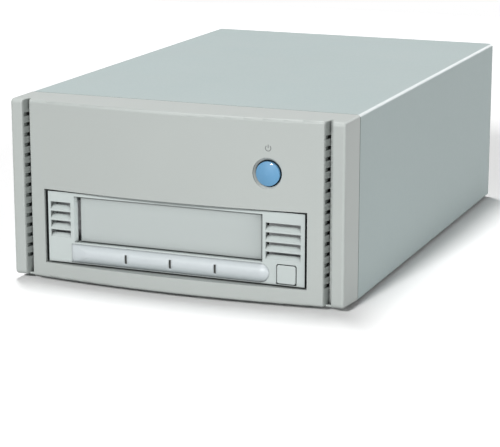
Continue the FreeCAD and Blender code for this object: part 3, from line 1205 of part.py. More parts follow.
# ---------------------------------------------------------------------------------------------
# Inner cables
# ---------------------------------------------------------------------------------------------
def rounded_path(points):
    """Straight runs joined by tangent arcs; each arc is as large as its two runs allow."""
    corners = [Vector(*[size_of(c) for c in point]) for point in points]
    edges = []
    start = corners[0]
    for before, corner, after in zip(corners, corners[1:], corners[2:]):
        into = (corner - before).normalize()
        out = (after - corner).normalize()
        turn = into.getAngle(out)
        reach = 0.45 * min((corner - before).Length, (after - corner).Length)
        entry = corner - into * reach
        leave = corner + out * reach
        radius = reach / math.tan(turn / 2)
        inward = (out - into).normalize()
        middle = corner + inward * (radius / math.cos(turn / 2) - radius)
        edges.append(Part.LineSegment(start, entry).toShape())
        edges.append(Part.Arc(entry, middle, leave).toShape())
        start = leave
    edges.append(Part.LineSegment(start, corners[-1]).toShape())
    return Part.Wire(edges), (corners[1] - corners[0]).normalize(), corners[0]


def tube(label, points, radius):
    path, way, start = rounded_path(points)
    section = Part.Wire(Part.makeCircle(radius, start, way))
    return plain_feature(label, path.makePipeShell([section], True, False))


def flat_cable(points, width, thick):
    """A ribbon that stays flat along X while it bends in the upright plane."""
    path, way, start = rounded_path(points)
    side = Vector(1, 0, 0) * (width / 2)
    up = way.cross(Vector(1, 0, 0)) * (thick / 2)
    ring = [start - side - up, start + side - up, start + side + up, start - side + up, start - side - up]
    return path.makePipeShell([Part.makePolygon(ring)], True, False)


BOARD_PLUG_TOP = "shelf_z + bracket_t + standoff + board_t + 8.5"


def make_cables():
    mid = "(port_low_z + port_high_z) / 2"
    back = "rear_y - 10"
    to_ports = [("-24", "206", "16"), ("-24", "232", "16"), ("-24", "254", "port_low_z"), ("-24", back, "port_low_z")]
    loop = [("-24", back, "port_low_z + 3"), ("-24", "270", "port_low_z + 3"), ("-24", "264", mid),
            ("-24", "270", "port_high_z - 3"), ("-24", back, "port_high_z - 3")]
    ribbon = Part.makeCompound([flat_cable(to_ports, 43, 1.0), flat_cable(loop, 43, 1.0)])
    plain_feature("scsi_ribbon", ribbon)
    supply = [("35", "206", "15"), ("35", "224", "15"), ("33", "242", "26"), ("28", "248", "44"), ("20", "247", "62"),
              ("8", "239", "75"), ("-5", "229", "84"), ("-13", "219", "87"), ("-16", "212", "81"), ("-16", "212", BOARD_PLUG_TOP)]
    tube("drive_power_cable", supply, 2.0)
    fan = [("20", "276", "70"), ("8", "276", "70"), ("-12", "268", "74"), ("-34", "256", "78"), ("-56", "242", "82"),
           ("-70", "227", "84"), ("-76", "218", "80"), ("-76", "218", BOARD_PLUG_TOP)]
    tube("fan_lead", fan, 1.1)


def make_springs():
    length = size_of("plate_y - flange_y - 1.4")
    coil("button_spring", 5, 4.6, 0.8, length, "button_x", "flange_y + 1.4", "button_z", (0, 1, 0))
    eject = size_of("chassis_y - face_y - face_t - 1.25")
    coil("eject_spring", 3, 2.9, 0.5, eject, "eject_x", "face_y + face_t + 1.25", "eject_z", (0, 1, 0))
    coil("door_spring", 2, 1.1, 0.35, 1.1, "slot_right - door_gap + 0.02", "hinge_y", "hinge_z", (1, 0, 0))


# ---------------------------------------------------------------------------------------------
# Build, check and write
# ---------------------------------------------------------------------------------------------
def check_and_write():
    doc.recompute()
    for item in doc.Objects:
        if "Invalid" in item.State or "Error" in item.State:
            raise RuntimeError("%s failed: %s" % (item.Name, item.State))
    for item in NODES:
        if item.Shape.isNull() or not item.Shape.isValid() or not item.Shape.Solids:
            raise RuntimeError("%s has no valid solid" % item.Label)
    os.makedirs("parts", exist_ok=True)
    for item in NODES:
        item.Shape.exportStep("parts/%s.step" % item.Label)


make_front_bezel()
make_top_cover()
make_base_tray()
make_rear_panel()
make_feet()
make_rails()
make_power_shelf()
make_screws()
make_power_button()
make_switch()
make_power_supply()
make_mains_inlet()
make_port("scsi_port_lower", "port_low_z")
make_port("scsi_port_upper", "port_high_z")
make_selector()
make_fan()
make_drive_bezel()
make_drive_front()
make_drive_base()
make_drive_lid()
make_cartridge_tray()
make_reels()
make_rollers()
make_head()
make_drive_board()
make_cables()
make_springs()
check_and_write()
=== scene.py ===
import json
import math

import bmesh
import bpy
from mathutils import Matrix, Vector
from mathutils.bvhtree import BVHTree


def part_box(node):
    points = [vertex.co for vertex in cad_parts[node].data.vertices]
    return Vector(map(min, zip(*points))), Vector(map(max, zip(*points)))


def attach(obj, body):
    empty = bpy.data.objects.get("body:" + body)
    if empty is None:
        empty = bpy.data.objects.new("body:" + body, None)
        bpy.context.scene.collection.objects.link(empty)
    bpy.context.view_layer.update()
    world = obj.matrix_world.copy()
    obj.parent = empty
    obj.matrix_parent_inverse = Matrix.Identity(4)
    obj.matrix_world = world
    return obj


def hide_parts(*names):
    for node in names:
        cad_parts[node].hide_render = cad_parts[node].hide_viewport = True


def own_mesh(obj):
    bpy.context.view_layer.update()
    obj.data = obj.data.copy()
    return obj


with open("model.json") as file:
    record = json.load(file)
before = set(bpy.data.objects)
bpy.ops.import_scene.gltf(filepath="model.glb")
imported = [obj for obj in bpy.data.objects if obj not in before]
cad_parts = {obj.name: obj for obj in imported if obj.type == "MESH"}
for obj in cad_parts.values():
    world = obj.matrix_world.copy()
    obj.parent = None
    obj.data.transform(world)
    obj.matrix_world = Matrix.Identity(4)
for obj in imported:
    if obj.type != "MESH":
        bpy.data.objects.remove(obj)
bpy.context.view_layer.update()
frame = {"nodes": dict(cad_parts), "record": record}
nodes = frame["nodes"]
scene = bpy.context.scene

MM = 0.001


# ---------------------------------------------------------------- camera

CAMERA_TURN = math.radians(21.79)
CAMERA_RISE = math.radians(13.91)
CAMERA_DISTANCE = 1.0868
CAMERA_TARGET = Vector((-0.0004, -0.0345, 0.0146))
CAMERA_LENS = 134.3
CAMERA_SENSOR = 36
CAMERA_NEAR = 10 * MM


def add_camera():
    """The camera stands to the right of the front and looks slightly down."""
    data = bpy.data.cameras.new("camera")
    data.lens = CAMERA_LENS
    data.sensor_width = CAMERA_SENSOR
    data.clip_start = CAMERA_NEAR
    camera = bpy.data.objects.new("camera", data)
    scene.collection.objects.link(camera)
    back = Vector((math.sin(CAMERA_TURN) * math.cos(CAMERA_RISE),
                   -math.cos(CAMERA_TURN) * math.cos(CAMERA_RISE),
                   math.sin(CAMERA_RISE)))
    camera.location = CAMERA_TARGET + back * CAMERA_DISTANCE
    camera.rotation_euler = back.to_track_quat("Z", "Y").to_euler()
    scene.camera = camera


# ---------------------------------------------------------------- node helpers

class Shading:
    """A node tree with short calls to add and link nodes."""

    def __init__(self, tree):
        self.tree = tree

    def node(self, kind, **settings):
        made = self.tree.nodes.new(kind)
        for name, value in settings.items():
            setattr(made, name, value)
        return made

    def link(self, output, socket):
        self.tree.links.new(output, socket)

    def feed(self, socket, value):
        """Links value to the socket when it is an output, and sets it there when it is a plain value."""
        if isinstance(value, bpy.types.NodeSocket):
            self.link(value, socket)
        elif isinstance(value, (tuple, list)) and len(value) == 3 and socket.type == "RGBA":
            socket.default_value = (*value, 1)
        else:
            socket.default_value = value

    def noise(self, scale, detail, roughness, at):
        """Clouds from 0 to 1, finer with scale and detail."""
        made = self.node("ShaderNodeTexNoise")
        self.feed(made.inputs["Scale"], scale)
        self.feed(made.inputs["Detail"], detail)
        self.feed(made.inputs["Roughness"], roughness)
        self.link(at, made.inputs["Vector"])
        return made.outputs["Fac"]

    def cells(self, scale, at, output="Distance"):
        """Scattered cells: the distance to the nearest middle, or a colour for each cell."""
        made = self.node("ShaderNodeTexVoronoi")
        self.feed(made.inputs["Scale"], scale)
        self.link(at, made.inputs["Vector"])
        return made.outputs[output]

    def place(self):
        """The point on the object, in metres, which turns and slides with its body."""
        return self.node("ShaderNodeTexCoord").outputs["Object"]

    def math(self, operation, a, b=0.5, c=None, clamp=False):
        """One sum of two or three numbers or outputs."""
        made = self.node("ShaderNodeMath", operation=operation, use_clamp=clamp)
        self.feed(made.inputs[0], a)
        self.feed(made.inputs[1], b)
        if c is not None:
            self.feed(made.inputs[2], c)
        return made.outputs[0]

    def span(self, value, low, high, to_low=0.0, to_high=1.0):
        """Carries value from the range low to high over to another range, and clamps it there."""
        made = self.node("ShaderNodeMapRange")
        for socket, number in zip(made.inputs, (value, low, high, to_low, to_high)):
            self.feed(socket, number)
        return made.outputs[0]

    def mix(self, share, a, b, blend="MIX"):
        """Colour a where share is 0 and colour b where it is 1."""
        made = self.node("ShaderNodeMix", data_type="RGBA", blend_type=blend)
        first, second = (socket for socket in made.inputs if socket.type == "RGBA")
        self.feed(made.inputs["Factor"], share)
        self.feed(first, a)
        self.feed(second, b)
        return next(socket for socket in made.outputs if socket.type == "RGBA")

    def grey(self, value):
        """A grey as light as value says."""
        made = self.node("ShaderNodeCombineColor")
        for socket in made.inputs:
            self.link(value, socket)
        return made.outputs["Color"]

    def axis(self, vector, letter):
        """One part of a vector."""
        made = self.node("ShaderNodeSeparateXYZ")
        self.link(vector, made.inputs[0])
        return made.outputs[letter]

    def bump(self, height, depth, normal=None):
        """A normal that leans as the height changes, by depth in metres from 0 to 1."""
        made = self.node("ShaderNodeBump")
        self.feed(made.inputs["Height"], height)
        self.feed(made.inputs["Distance"], depth)
        self.feed(made.inputs["Strength"], 1.0)
        if normal is not None:
            self.link(normal, made.inputs["Normal"])
        return made.outputs["Normal"]

    def seen(self):
        """1 where the backdrop is looked at, also by a mirror or glass, and 0 where it lights something."""
        path = self.node("ShaderNodeLightPath").outputs
        return self.math("MAXIMUM", self.math("MAXIMUM", path["Is Camera Ray"], path["Is Glossy Ray"]),
                         path["Is Transmission Ray"])

    def use(self, group, **values):
        """Places a shared group, with an underscore for each space in the names of its inputs."""
        made = self.node("ShaderNodeGroup")
        made.node_tree = group
        for name, value in values.items():
            self.feed(made.inputs[name.replace("_", " ")], value)
        return made.outputs


def shared_group(name, inputs, outputs):
    """An empty node group with named number inputs and outputs of the kinds given."""
    tree = bpy.data.node_groups.new(name, "ShaderNodeTree")
    for title, value in inputs:
        kind = "NodeSocketColor" if isinstance(value, tuple) else "NodeSocketFloat"
        socket = tree.interface.new_socket(title, in_out="INPUT", socket_type=kind)
        socket.default_value = (*value, 1) if isinstance(value, tuple) else value
    for title, kind in outputs:
        tree.interface.new_socket(title, in_out="OUTPUT", socket_type=kind)
    shading = Shading(tree)
    entry = shading.node("NodeGroupInput")
    leave = shading.node("NodeGroupOutput")
    return shading, entry.outputs, leave.inputs


def moulded_grain_group():
    """Spark-eroded mould texture: fine pits, a slow drift of tone and a small change of gloss."""
    s, given, result = shared_group(
        "moulded_grain",
        [("Colour", (0.5, 0.5, 0.5)), ("Grain", 2600.0), ("Depth", 0.03 * MM), ("Drift", 0.04)],
        [("Colour", "NodeSocketColor"), ("Normal", "NodeSocketVector"), ("Gloss", "NodeSocketFloat")])
    at = s.place()
    pits = s.noise(given["Grain"], 3.0, 0.6, at)
    drift = s.noise(14.0, 2.0, 0.5, at)
    shade = s.math("MULTIPLY_ADD", s.math("SUBTRACT", drift, 0.5), given["Drift"], 1.0)
    speck = s.math("MULTIPLY_ADD", s.math("SUBTRACT", pits, 0.5), 0.05, shade)
    s.link(s.mix(1.0, given["Colour"], s.grey(speck), "MULTIPLY"), result["Colour"])
    s.link(s.bump(pits, given["Depth"]), result["Normal"])
    s.link(s.span(drift, 0.3, 0.7), result["Gloss"])
    return s.tree


def edge_wear_and_highlight_group():
    """A mask that is 1 along sharp outer edges, where handling polishes or rubs the finish and where the
    finishes paint a highlight by lightening the colour.
    """
    s, given, result = shared_group(
        "edge_wear_and_highlight", [("Width", 0.6 * MM), ("Patches", 90.0)], [("Mask", "NodeSocketFloat")])
    rounded = s.node("ShaderNodeBevel", samples=4)
    s.link(given["Width"], rounded.inputs["Radius"])
    flat = s.node("ShaderNodeNewGeometry").outputs["Normal"]
    turned = s.node("ShaderNodeVectorMath", operation="DOT_PRODUCT")
    s.link(rounded.outputs["Normal"], turned.inputs[0])
    s.link(flat, turned.inputs[1])
    edge = s.span(turned.outputs["Value"], 0.98, 0.75)
    patches = s.span(s.noise(given["Patches"], 3.0, 0.6, s.place()), 0.42, 0.62)
    s.link(s.math("MULTIPLY", edge, patches, clamp=True), result["Mask"])
    return s.tree


def fold_highlight_group():
    """A mask that is 1 on the round of a fold between an upper face and a side, where the paint is lightened
    as a painted highlight.
    """
    s, given, result = shared_group("folds", [("Start", 0.22), ("Full", 0.46)], [("Mask", "NodeSocketFloat")])
    facing = s.node("ShaderNodeTexCoord").outputs["Normal"]
    both = s.math("MULTIPLY", s.math("ABSOLUTE", s.axis(facing, "X")), s.axis(facing, "Z"))
    s.link(s.span(both, given["Start"], given["Full"]), result["Mask"])
    return s.tree


def crevice_shade_group():
    """A mask that is 1 deep inside slits, seams and inner corners, found by ambient occlusion; the finishes
    darken the colour there as painted shade.
    """
    s, given, result = shared_group(
        "crevices", [("Reach", 3 * MM), ("Tight", 0.30), ("Open", 0.62)], [("Mask", "NodeSocketFloat")])
    hidden = s.node("ShaderNodeAmbientOcclusion", samples=6)
    s.link(given["Reach"], hidden.inputs["Distance"])
    s.link(s.span(hidden.outputs["AO"], given["Tight"], given["Open"], 1.0, 0.0), result["Mask"])
    return s.tree


def dust_group():
    """Fine settled dust and haze, thicker where it gathers on faces that look up."""
    s, given, result = shared_group(
        "dust", [("Amount", 0.1), ("Spread", 60.0)], [("Mask", "NodeSocketFloat")])
    facing = s.node("ShaderNodeTexCoord").outputs["Normal"]
    upward = s.span(s.axis(facing, "Z"), 0.2, 1.0, 0.25, 1.0)
    clouds = s.span(s.noise(given["Spread"], 4.0, 0.6, s.place()), 0.35, 0.75)
    settled = s.math("MULTIPLY", clouds, upward)
    s.link(s.math("MULTIPLY", settled, given["Amount"], clamp=True), result["Mask"])
    return s.tree


def drawn_streaks_group():
    """Long fine lines left by rolling, turning or brushing."""
    s, given, result = shared_group(
        "drawn_streaks",
        [("Along X", 1.0), ("Along Y", 1.0), ("Along Z", 1.0), ("Scale", 900.0)],
        [("Lines", "NodeSocketFloat")])
    squeeze = s.node("ShaderNodeCombineXYZ")
    for axis in "XYZ":
        s.link(given["Along " + axis], squeeze.inputs[axis])
    spread = s.node("ShaderNodeVectorMath", operation="MULTIPLY")
    s.link(s.place(), spread.inputs[0])
    s.link(squeeze.outputs[0], spread.inputs[1])
    s.link(s.noise(given["Scale"], 3.0, 0.6, spread.outputs[0]), result["Lines"])
    return s.tree


GRAIN = moulded_grain_group()
EDGE_WEAR_AND_HIGHLIGHT = edge_wear_and_highlight_group()
FOLD_HIGHLIGHT = fold_highlight_group()
PAINTED_CREVICE_SHADE = crevice_shade_group()
DUST = dust_group()
STREAKS = drawn_streaks_group()


def new_material(name):
    """A material with an empty Principled surface, and the helper to fill it."""
    material = bpy.data.materials.new(name)
    material.use_nodes = True
    shading = Shading(material.node_tree)
    surface = material.node_tree.nodes["Principled BSDF"]
    return material, shading, surface.inputs


# ---------------------------------------------------------------- finishes

SETTLED_DUST = (0.56, 0.56, 0.54)
CREVICE_SHADE = 0.03


def moulded_plastic(name, colour, rough=(0.42, 0.5), grain=2600.0, depth=0.02 * MM, drift=0.04, dust=0.08,
                    rub_and_highlight=0.3, coat=0.0, painted_shade=0.95, crevice=(3 * MM, 0.26, 0.56)):
    """Moulded plastic with eroded grain, painted shade in crevices, a trace of dust and slightly lightened
    edges, partly wear and partly a painted highlight.
    """
    material, s, surface = new_material(name)
    body = s.use(GRAIN, Colour=colour, Grain=grain, Depth=depth, Drift=drift)
    wear_and_highlight = s.use(EDGE_WEAR_AND_HIGHLIGHT, Width=0.6 * MM, Patches=120.0)["Mask"]
    settled = s.use(DUST, Amount=dust, Spread=70.0)["Mask"]
    # Edges are lightened: partly wear, partly a painted highlight.
    lighter = tuple(min(1.0, c * 1.3 + 0.03) for c in colour)
    tone = s.mix(s.math("MULTIPLY", wear_and_highlight, rub_and_highlight), body["Colour"], lighter)
    tone = s.mix(settled, tone, SETTLED_DUST)
    # Painted shade: deep in crevices, slits and seams the colour is darkened nearly to black.
    reach, tight, wide = crevice
    deep = s.use(PAINTED_CREVICE_SHADE, Reach=reach, Tight=tight, Open=wide)["Mask"]
    tone = s.mix(s.math("MULTIPLY", deep, painted_shade), tone, tuple(c * CREVICE_SHADE for c in colour))
    s.link(tone, surface["Base Color"])
    gloss = s.span(body["Gloss"], 0.0, 1.0, *rough)
    gloss = s.math("SUBTRACT", gloss, s.math("MULTIPLY", wear_and_highlight, 0.1))
    s.link(gloss, surface["Roughness"])
    s.link(body["Normal"], surface["Normal"])
    surface["IOR"].default_value = 1.5
    surface["Coat Weight"].default_value = coat
    return material


def powder_coat(name, colour):
    """Painted sheet: soft orange-peel waves, small nibs, settled dust, a thin painted highlight along the
    folds and painted shade in seams.
    """
    material, s, surface = new_material(name)
    at = s.place()
    peel = s.noise(700.0, 2.0, 0.5, at)
    nibs = s.span(s.cells(320.0, at), 0.02, 0.10, 1.0, 0.0)
    height = s.math("MULTIPLY_ADD", nibs, 0.15, peel)
    body = s.use(GRAIN, Colour=colour, Grain=1500.0, Depth=0.01 * MM, Drift=0.05)
    settled = s.use(DUST, Amount=0.12, Spread=35.0)["Mask"]
    wear_and_highlight = s.use(FOLD_HIGHLIGHT)["Mask"]
    deep = s.use(PAINTED_CREVICE_SHADE, Reach=3 * MM, Tight=0.30, Open=0.62)["Mask"]
    tone = s.mix(settled, body["Colour"], (0.52, 0.53, 0.52))
    # Painted highlight: the rounds of the bends are lightened nearly to white.
    tone = s.mix(s.math("MULTIPLY", wear_and_highlight, 0.7), tone, (0.84, 0.88, 0.89))
    # Painted shade: seams and gaps are darkened nearly to black.
    tone = s.mix(s.math("MULTIPLY", deep, 0.8), tone, (0.03, 0.03, 0.03))
    s.link(tone, surface["Base Color"])
    gloss = s.math("SUBTRACT", s.span(peel, 0.3, 0.7, 0.54, 0.64), s.math("MULTIPLY", wear_and_highlight, 0.2))
    s.link(gloss, surface["Roughness"])
    s.link(s.bump(height, 0.04 * MM, body["Normal"]), surface["Normal"])
    surface["IOR"].default_value = 1.45
    return material


def plated_sheet(name, colour, along=(1.0, 0.06, 1.0), spangle=0.25, rough=(0.3, 0.46)):
    """Bare plated steel with rolling lines and soft crystal patches."""
    material, s, surface = new_material(name)
    lines = s.use(STREAKS, Along_X=along[0], Along_Y=along[1], Along_Z=along[2], Scale=1100.0)["Lines"]
    patch = s.cells(140.0, s.place(), output="Color")
    patch_tone = s.node("ShaderNodeSeparateColor")
    s.link(patch, patch_tone.inputs[0])
    tone = s.math("MULTIPLY_ADD", patch_tone.outputs[0], spangle * 0.3, 1.0 - spangle * 0.15)
    tone = s.math("MULTIPLY", tone, s.span(lines, 0.3, 0.7, 0.95, 1.05))
    s.link(s.mix(1.0, colour, s.grey(tone), "MULTIPLY"), surface["Base Color"])
    uneven = s.math("MULTIPLY_ADD", patch_tone.outputs[0], 0.3, lines)
    s.link(s.span(uneven, 0.3, 1.0, *rough), surface["Roughness"])
    s.link(s.bump(lines, 0.008 * MM), surface["Normal"])
    surface["Metallic"].default_value = 1.0
    return material


def cast_metal(name, colour):
    """Die-cast alloy with a sandy skin and faint flow marks."""
    material, s, surface = new_material(name)
    at = s.place()
    sand = s.noise(1800.0, 4.0, 0.65, at)
    flow = s.noise(60.0, 3.0, 0.5, at)
    wear_and_highlight = s.use(EDGE_WEAR_AND_HIGHLIGHT, Width=0.5 * MM, Patches=150.0)["Mask"]
    dark = tuple(c * 0.85 for c in colour)
    tone = s.mix(s.span(flow, 0.35, 0.65), dark, colour)
    # Edges are lightened: partly wear, partly a painted highlight.
    s.link(s.mix(s.math("MULTIPLY", wear_and_highlight, 0.5), tone, (0.8, 0.8, 0.8)), surface["Base Color"])
    s.link(s.span(sand, 0.3, 0.7, 0.42, 0.6), surface["Roughness"])
    s.link(s.bump(sand, 0.04 * MM), surface["Normal"])
    surface["Metallic"].default_value = 1.0
    return material


def soft_rubber(name, colour):
    """Matte moulded rubber with a chalky bloom."""
    material, s, surface = new_material(name)
    bloom = s.span(s.noise(250.0, 4.0, 0.6, s.place()), 0.4, 0.75, 0.0, 0.35)
    body = s.use(GRAIN, Colour=colour, Grain=1800.0, Depth=0.04 * MM, Drift=0.2)
    s.link(s.mix(bloom, body["Colour"], (0.10, 0.10, 0.10)), surface["Base Color"])
    s.link(s.span(bloom, 0.0, 0.35, 0.6, 0.8), surface["Roughness"])
    s.link(body["Normal"], surface["Normal"])
    return material


def polished_bar(name, colour, drift=0.03, rough=(0.10, 0.18), dome=None):
    """Polished mouldings with a deep clear gloss and hair-fine rubs.

    A dome is (middle height, half height, rise) of a long bar that swells softly and has no sharp crease."""
    material, s, surface = new_material(name)
    at = s.place()
    body = s.use(GRAIN, Colour=colour, Grain=500.0, Depth=0.002 * MM, Drift=drift)
    rubs = s.use(STREAKS, Along_X=0.05, Along_Y=1.0, Along_Z=1.0, Scale=2200.0)["Lines"]
    s.link(body["Colour"], surface["Base Color"])
    rubbed = s.math("MULTIPLY", rubs, s.noise(90.0, 2.0, 0.5, at))
    s.link(s.span(rubbed, 0.1, 0.4, *rough), surface["Roughness"])
    normal = body["Normal"]
    if dome:
        middle, half, rise = dome
        rounded = s.node("ShaderNodeBevel", samples=8)
        rounded.inputs["Radius"].default_value = 2 * MM
        off = s.span(s.axis(at, "Z"), middle - half, middle + half, -1.0, 1.0)
        swell = s.math("SUBTRACT", 1.0, s.math("MULTIPLY", off, off))
        normal = s.bump(swell, rise, rounded.outputs["Normal"])
    s.link(normal, surface["Normal"])
    surface["Coat Weight"].default_value = 0.2
    surface["Coat Roughness"].default_value = 0.3
    return material


def circuit_board(name, colour):
    """Solder mask over copper tracks that run in two directions between pads."""
    material, s, surface = new_material(name)
    at = s.place()
    tracks = s.node("ShaderNodeTexBrick")
    s.link(at, tracks.inputs["Vector"])
    tracks.inputs["Scale"].default_value = 160.0
    tracks.inputs["Mortar Size"].default_value = 0.03
    tracks.inputs["Brick Width"].default_value = 1.6
    tracks.inputs["Row Height"].default_value = 0.22
    copper = s.math("SUBTRACT", 1.0, tracks.outputs["Fac"])
    dots = s.span(s.cells(420.0, at), 0.12, 0.16, 1.0, 0.0)
    light = tuple(min(1.0, c * 1.8 + 0.01) for c in colour)
    tone = s.mix(copper, light, colour)
    tone = s.mix(s.math("MULTIPLY", dots, 0.5), tone, (0.55, 0.56, 0.52))
    s.link(tone, surface["Base Color"])
    s.link(s.span(dots, 0.0, 1.0, 0.28, 0.4), surface["Roughness"])
    s.link(s.bump(copper, 0.02 * MM), surface["Normal"])
    return material


STRAND_PITCH = 1.27 * MM


def ribbed_cable(name, colour):
    """Flat vinyl cable made of joined round strands."""
    material, s, surface = new_material(name)
    wave = s.node("ShaderNodeTexWave", bands_direction="X")
    s.link(s.place(), wave.inputs["Vector"])
    wave.inputs["Scale"].default_value = math.pi / (10 * STRAND_PITCH)
    strands = wave.outputs["Fac"]
    s.link(s.mix(strands, tuple(c * 0.7 for c in colour), colour), surface["Base Color"])
    s.link(s.span(strands, 0.0, 1.0, 0.55, 0.4), surface["Roughness"])
    s.link(s.bump(strands, 0.2 * MM), surface["Normal"])
    return material


def wound_core(name, tape, core):
    """A ferrite core with a winding taped over."""
    material, s, surface = new_material(name)
    at = s.place()
    wraps = s.node("ShaderNodeTexWave", bands_direction="Z")
    s.link(at, wraps.inputs["Vector"])
    wraps.inputs["Scale"].default_value = 60.0
    wraps.inputs["Distortion"].default_value = 0.4
    specks = s.noise(900.0, 3.0, 0.6, at)
    tone = s.mix(s.span(wraps.outputs["Fac"], 0.4, 0.6), tape, tuple(c * 0.8 for c in tape))
    tone = s.mix(s.span(specks, 0.62, 0.7), tone, core)
    s.link(tone, surface["Base Color"])
    s.link(s.span(specks, 0.3, 0.7, 0.35, 0.6), surface["Roughness"])
    s.link(s.bump(wraps.outputs["Fac"], 0.1 * MM), surface["Normal"])
    return material


COVER_GREY = (0.430, 0.508, 0.506)
PANEL_GREY = (0.462, 0.496, 0.479)
DRIVE_GREY = (0.545, 0.600, 0.590)
# The door's grey is the drive grey darkened, as painted shade of its recess.
SHADED_DOOR_GREY = (0.475, 0.520, 0.512)

BAR_LOW, BAR_HIGH = (corner[2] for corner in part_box("status_bar"))
BAR_DOME = ((BAR_LOW + BAR_HIGH) / 2, (BAR_HIGH - BAR_LOW) / 2, 1.3 * MM)

FINISHES = {
    "enclosure_plastic": moulded_plastic("panel_plastic", PANEL_GREY),
    "enclosure_paint": powder_coat("cover_paint", COVER_GREY),
    "galvanised_sheet": plated_sheet("plated_sheet", (0.62, 0.63, 0.62)),
    "foot_rubber": soft_rubber("foot_rubber", (0.025, 0.025, 0.025)),
    "screw_steel": plated_sheet("screw_zinc", (0.60, 0.60, 0.58), along=(1.0, 1.0, 1.0), spangle=0.1,
                                rough=(0.25, 0.4)),
    "button_blue": moulded_plastic("button_blue", (0.125, 0.32, 0.53), rough=(0.50, 0.58), grain=1800.0,
                                   depth=0.006 * MM, dust=0.03, rub_and_highlight=0.05, coat=0.1),
    "drive_plastic": moulded_plastic("drive_plastic", DRIVE_GREY, rough=(0.34, 0.42), grain=3000.0,
                                     depth=0.012 * MM, crevice=(3 * MM, 0.45, 0.85)),
    "bar_gloss": polished_bar("bar_gloss", (0.59, 0.64, 0.66), rough=(0.36, 0.44), dome=BAR_DOME),
    "lens_dark": polished_bar("smoked_lens", (0.02, 0.022, 0.02), drift=0.1, rough=(0.05, 0.1)),
    "board_green": circuit_board("board_green", (0.02, 0.12, 0.05)),
    "black_plastic": moulded_plastic("black_plastic", (0.02, 0.02, 0.021), rough=(0.4, 0.5), grain=2200.0,
                                     drift=0.2, dust=0.03),
    "wheel_white": moulded_plastic("wheel_white", (0.72, 0.72, 0.69)),
    "connector_steel": plated_sheet("connector_nickel", (0.72, 0.70, 0.66), along=(1.0, 1.0, 0.1),
                                    spangle=0.05, rough=(0.2, 0.3)),
    "ribbon_grey": ribbed_cable("ribbon_grey", (0.42, 0.42, 0.42)),
    "cable_sleeve": moulded_plastic("cable_sleeve", (0.03, 0.03, 0.03), rough=(0.35, 0.45), grain=1200.0,
                                    depth=0.01 * MM, drift=0.1, dust=0.02),
    "cast_alloy": cast_metal("cast_alloy", (0.56, 0.57, 0.58)),
    "lid_steel": plated_sheet("lid_steel", (0.66, 0.66, 0.66), along=(0.05, 1.0, 1.0), spangle=0.1,
                              rough=(0.28, 0.4)),
    "motor_steel": plated_sheet("motor_steel", (0.55, 0.55, 0.56), along=(1.0, 1.0, 0.1), spangle=0.1,
                                rough=(0.25, 0.4)),
    "reel_plastic": moulded_plastic("reel_plastic", (0.60, 0.60, 0.57), rough=(0.3, 0.4)),
    "roller_alloy": plated_sheet("roller_alloy", (0.75, 0.75, 0.77), along=(0.05, 0.05, 1.0), spangle=0.05,
                                 rough=(0.2, 0.3)),
    "transformer_core": wound_core("transformer_core", tape=(0.60, 0.42, 0.06), core=(0.05, 0.05, 0.05)),
    "capacitor_sleeve": polished_bar("capacitor_sleeve", (0.02, 0.04, 0.12), drift=0.1, rough=(0.2, 0.3)),
    "head_ferrite": moulded_plastic("head_ferrite", (0.08, 0.08, 0.085), rough=(0.2, 0.3), grain=3000.0,
                                    depth=0.004 * MM, drift=0.1, dust=0.02),
    "spring_wire": plated_sheet("spring_wire", (0.50, 0.50, 0.50), along=(1.0, 1.0, 1.0), spangle=0.05,
                                rough=(0.25, 0.35)),
}
NODE_FINISHES = {
    # The door is a darker copy of the drive plastic, and its wide crevice reach paints shade under the top of
    # its opening.
    "tape_door": moulded_plastic("door_plastic_shaded", SHADED_DOOR_GREY, rough=(0.36, 0.44), grain=3000.0,
                                 depth=0.012 * MM, painted_shade=0.6, crevice=(6 * MM, 0.45, 0.88)),
}


def dress_nodes():
    """Gives every solid the finish of its material slot, or one of its own."""
    for part in frame["record"]["subparts"]:
        name = part["node"]
        mesh = nodes[name].data
        mesh.materials.clear()
        mesh.materials.append(NODE_FINISHES.get(name, FINISHES[part["material_slot"]]))


# ---------------------------------------------------------------- springs tied to the enclosure


def add_giving_spring(node):
    """A copy of the return spring, tied to the enclosure so that it stays with the plate behind; the spring
    part itself is hidden.
    """
    spring = bpy.data.objects.new(node + "_wire", nodes[node].data.copy())
    scene.collection.objects.link(spring)
    spring.matrix_world = nodes[node].matrix_world.copy()
    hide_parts(node)
    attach(spring, "enclosure")
    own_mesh(spring)


# ---------------------------------------------------------------- printed power mark

MARK_RADIUS = 1.45 * MM
MARK_STROKE = 0.42 * MM
MARK_RISE = 13.2 * MM
MARK_GAP = math.radians(38)
MARK_STEPS = 40
MARK_BAR = (0.1, 0.7, 1.3)
INK_RAISE = 0.02 * MM


def ink(name, colour):
    """Screen-printed ink, a little uneven over the grain below."""
    material, s, surface = new_material(name)
    body = s.use(GRAIN, Colour=colour, Grain=2200.0, Depth=0.01 * MM, Drift=0.3)
    s.link(body["Colour"], surface["Base Color"])
    s.link(s.span(body["Gloss"], 0.0, 1.0, 0.45, 0.6), surface["Roughness"])
    s.link(body["Normal"], surface["Normal"])
    return material


def printed_strip(mesh, points, width):
    """A flat ribbon of the given width along points of the X-Z plane."""
    pairs = []
    for here, before, after in zip(points, [points[0]] + points[:-1], points[1:] + [points[-1]]):
        along = (after - before).normalized()
        side = Vector((-along.y, along.x)) * width / 2
        pairs.append([mesh.verts.new((point.x, 0, point.y)) for point in (here + side, here - side)])
    for first, second in zip(pairs, pairs[1:]):
        mesh.faces.new((first[0], first[1], second[1], second[0]))


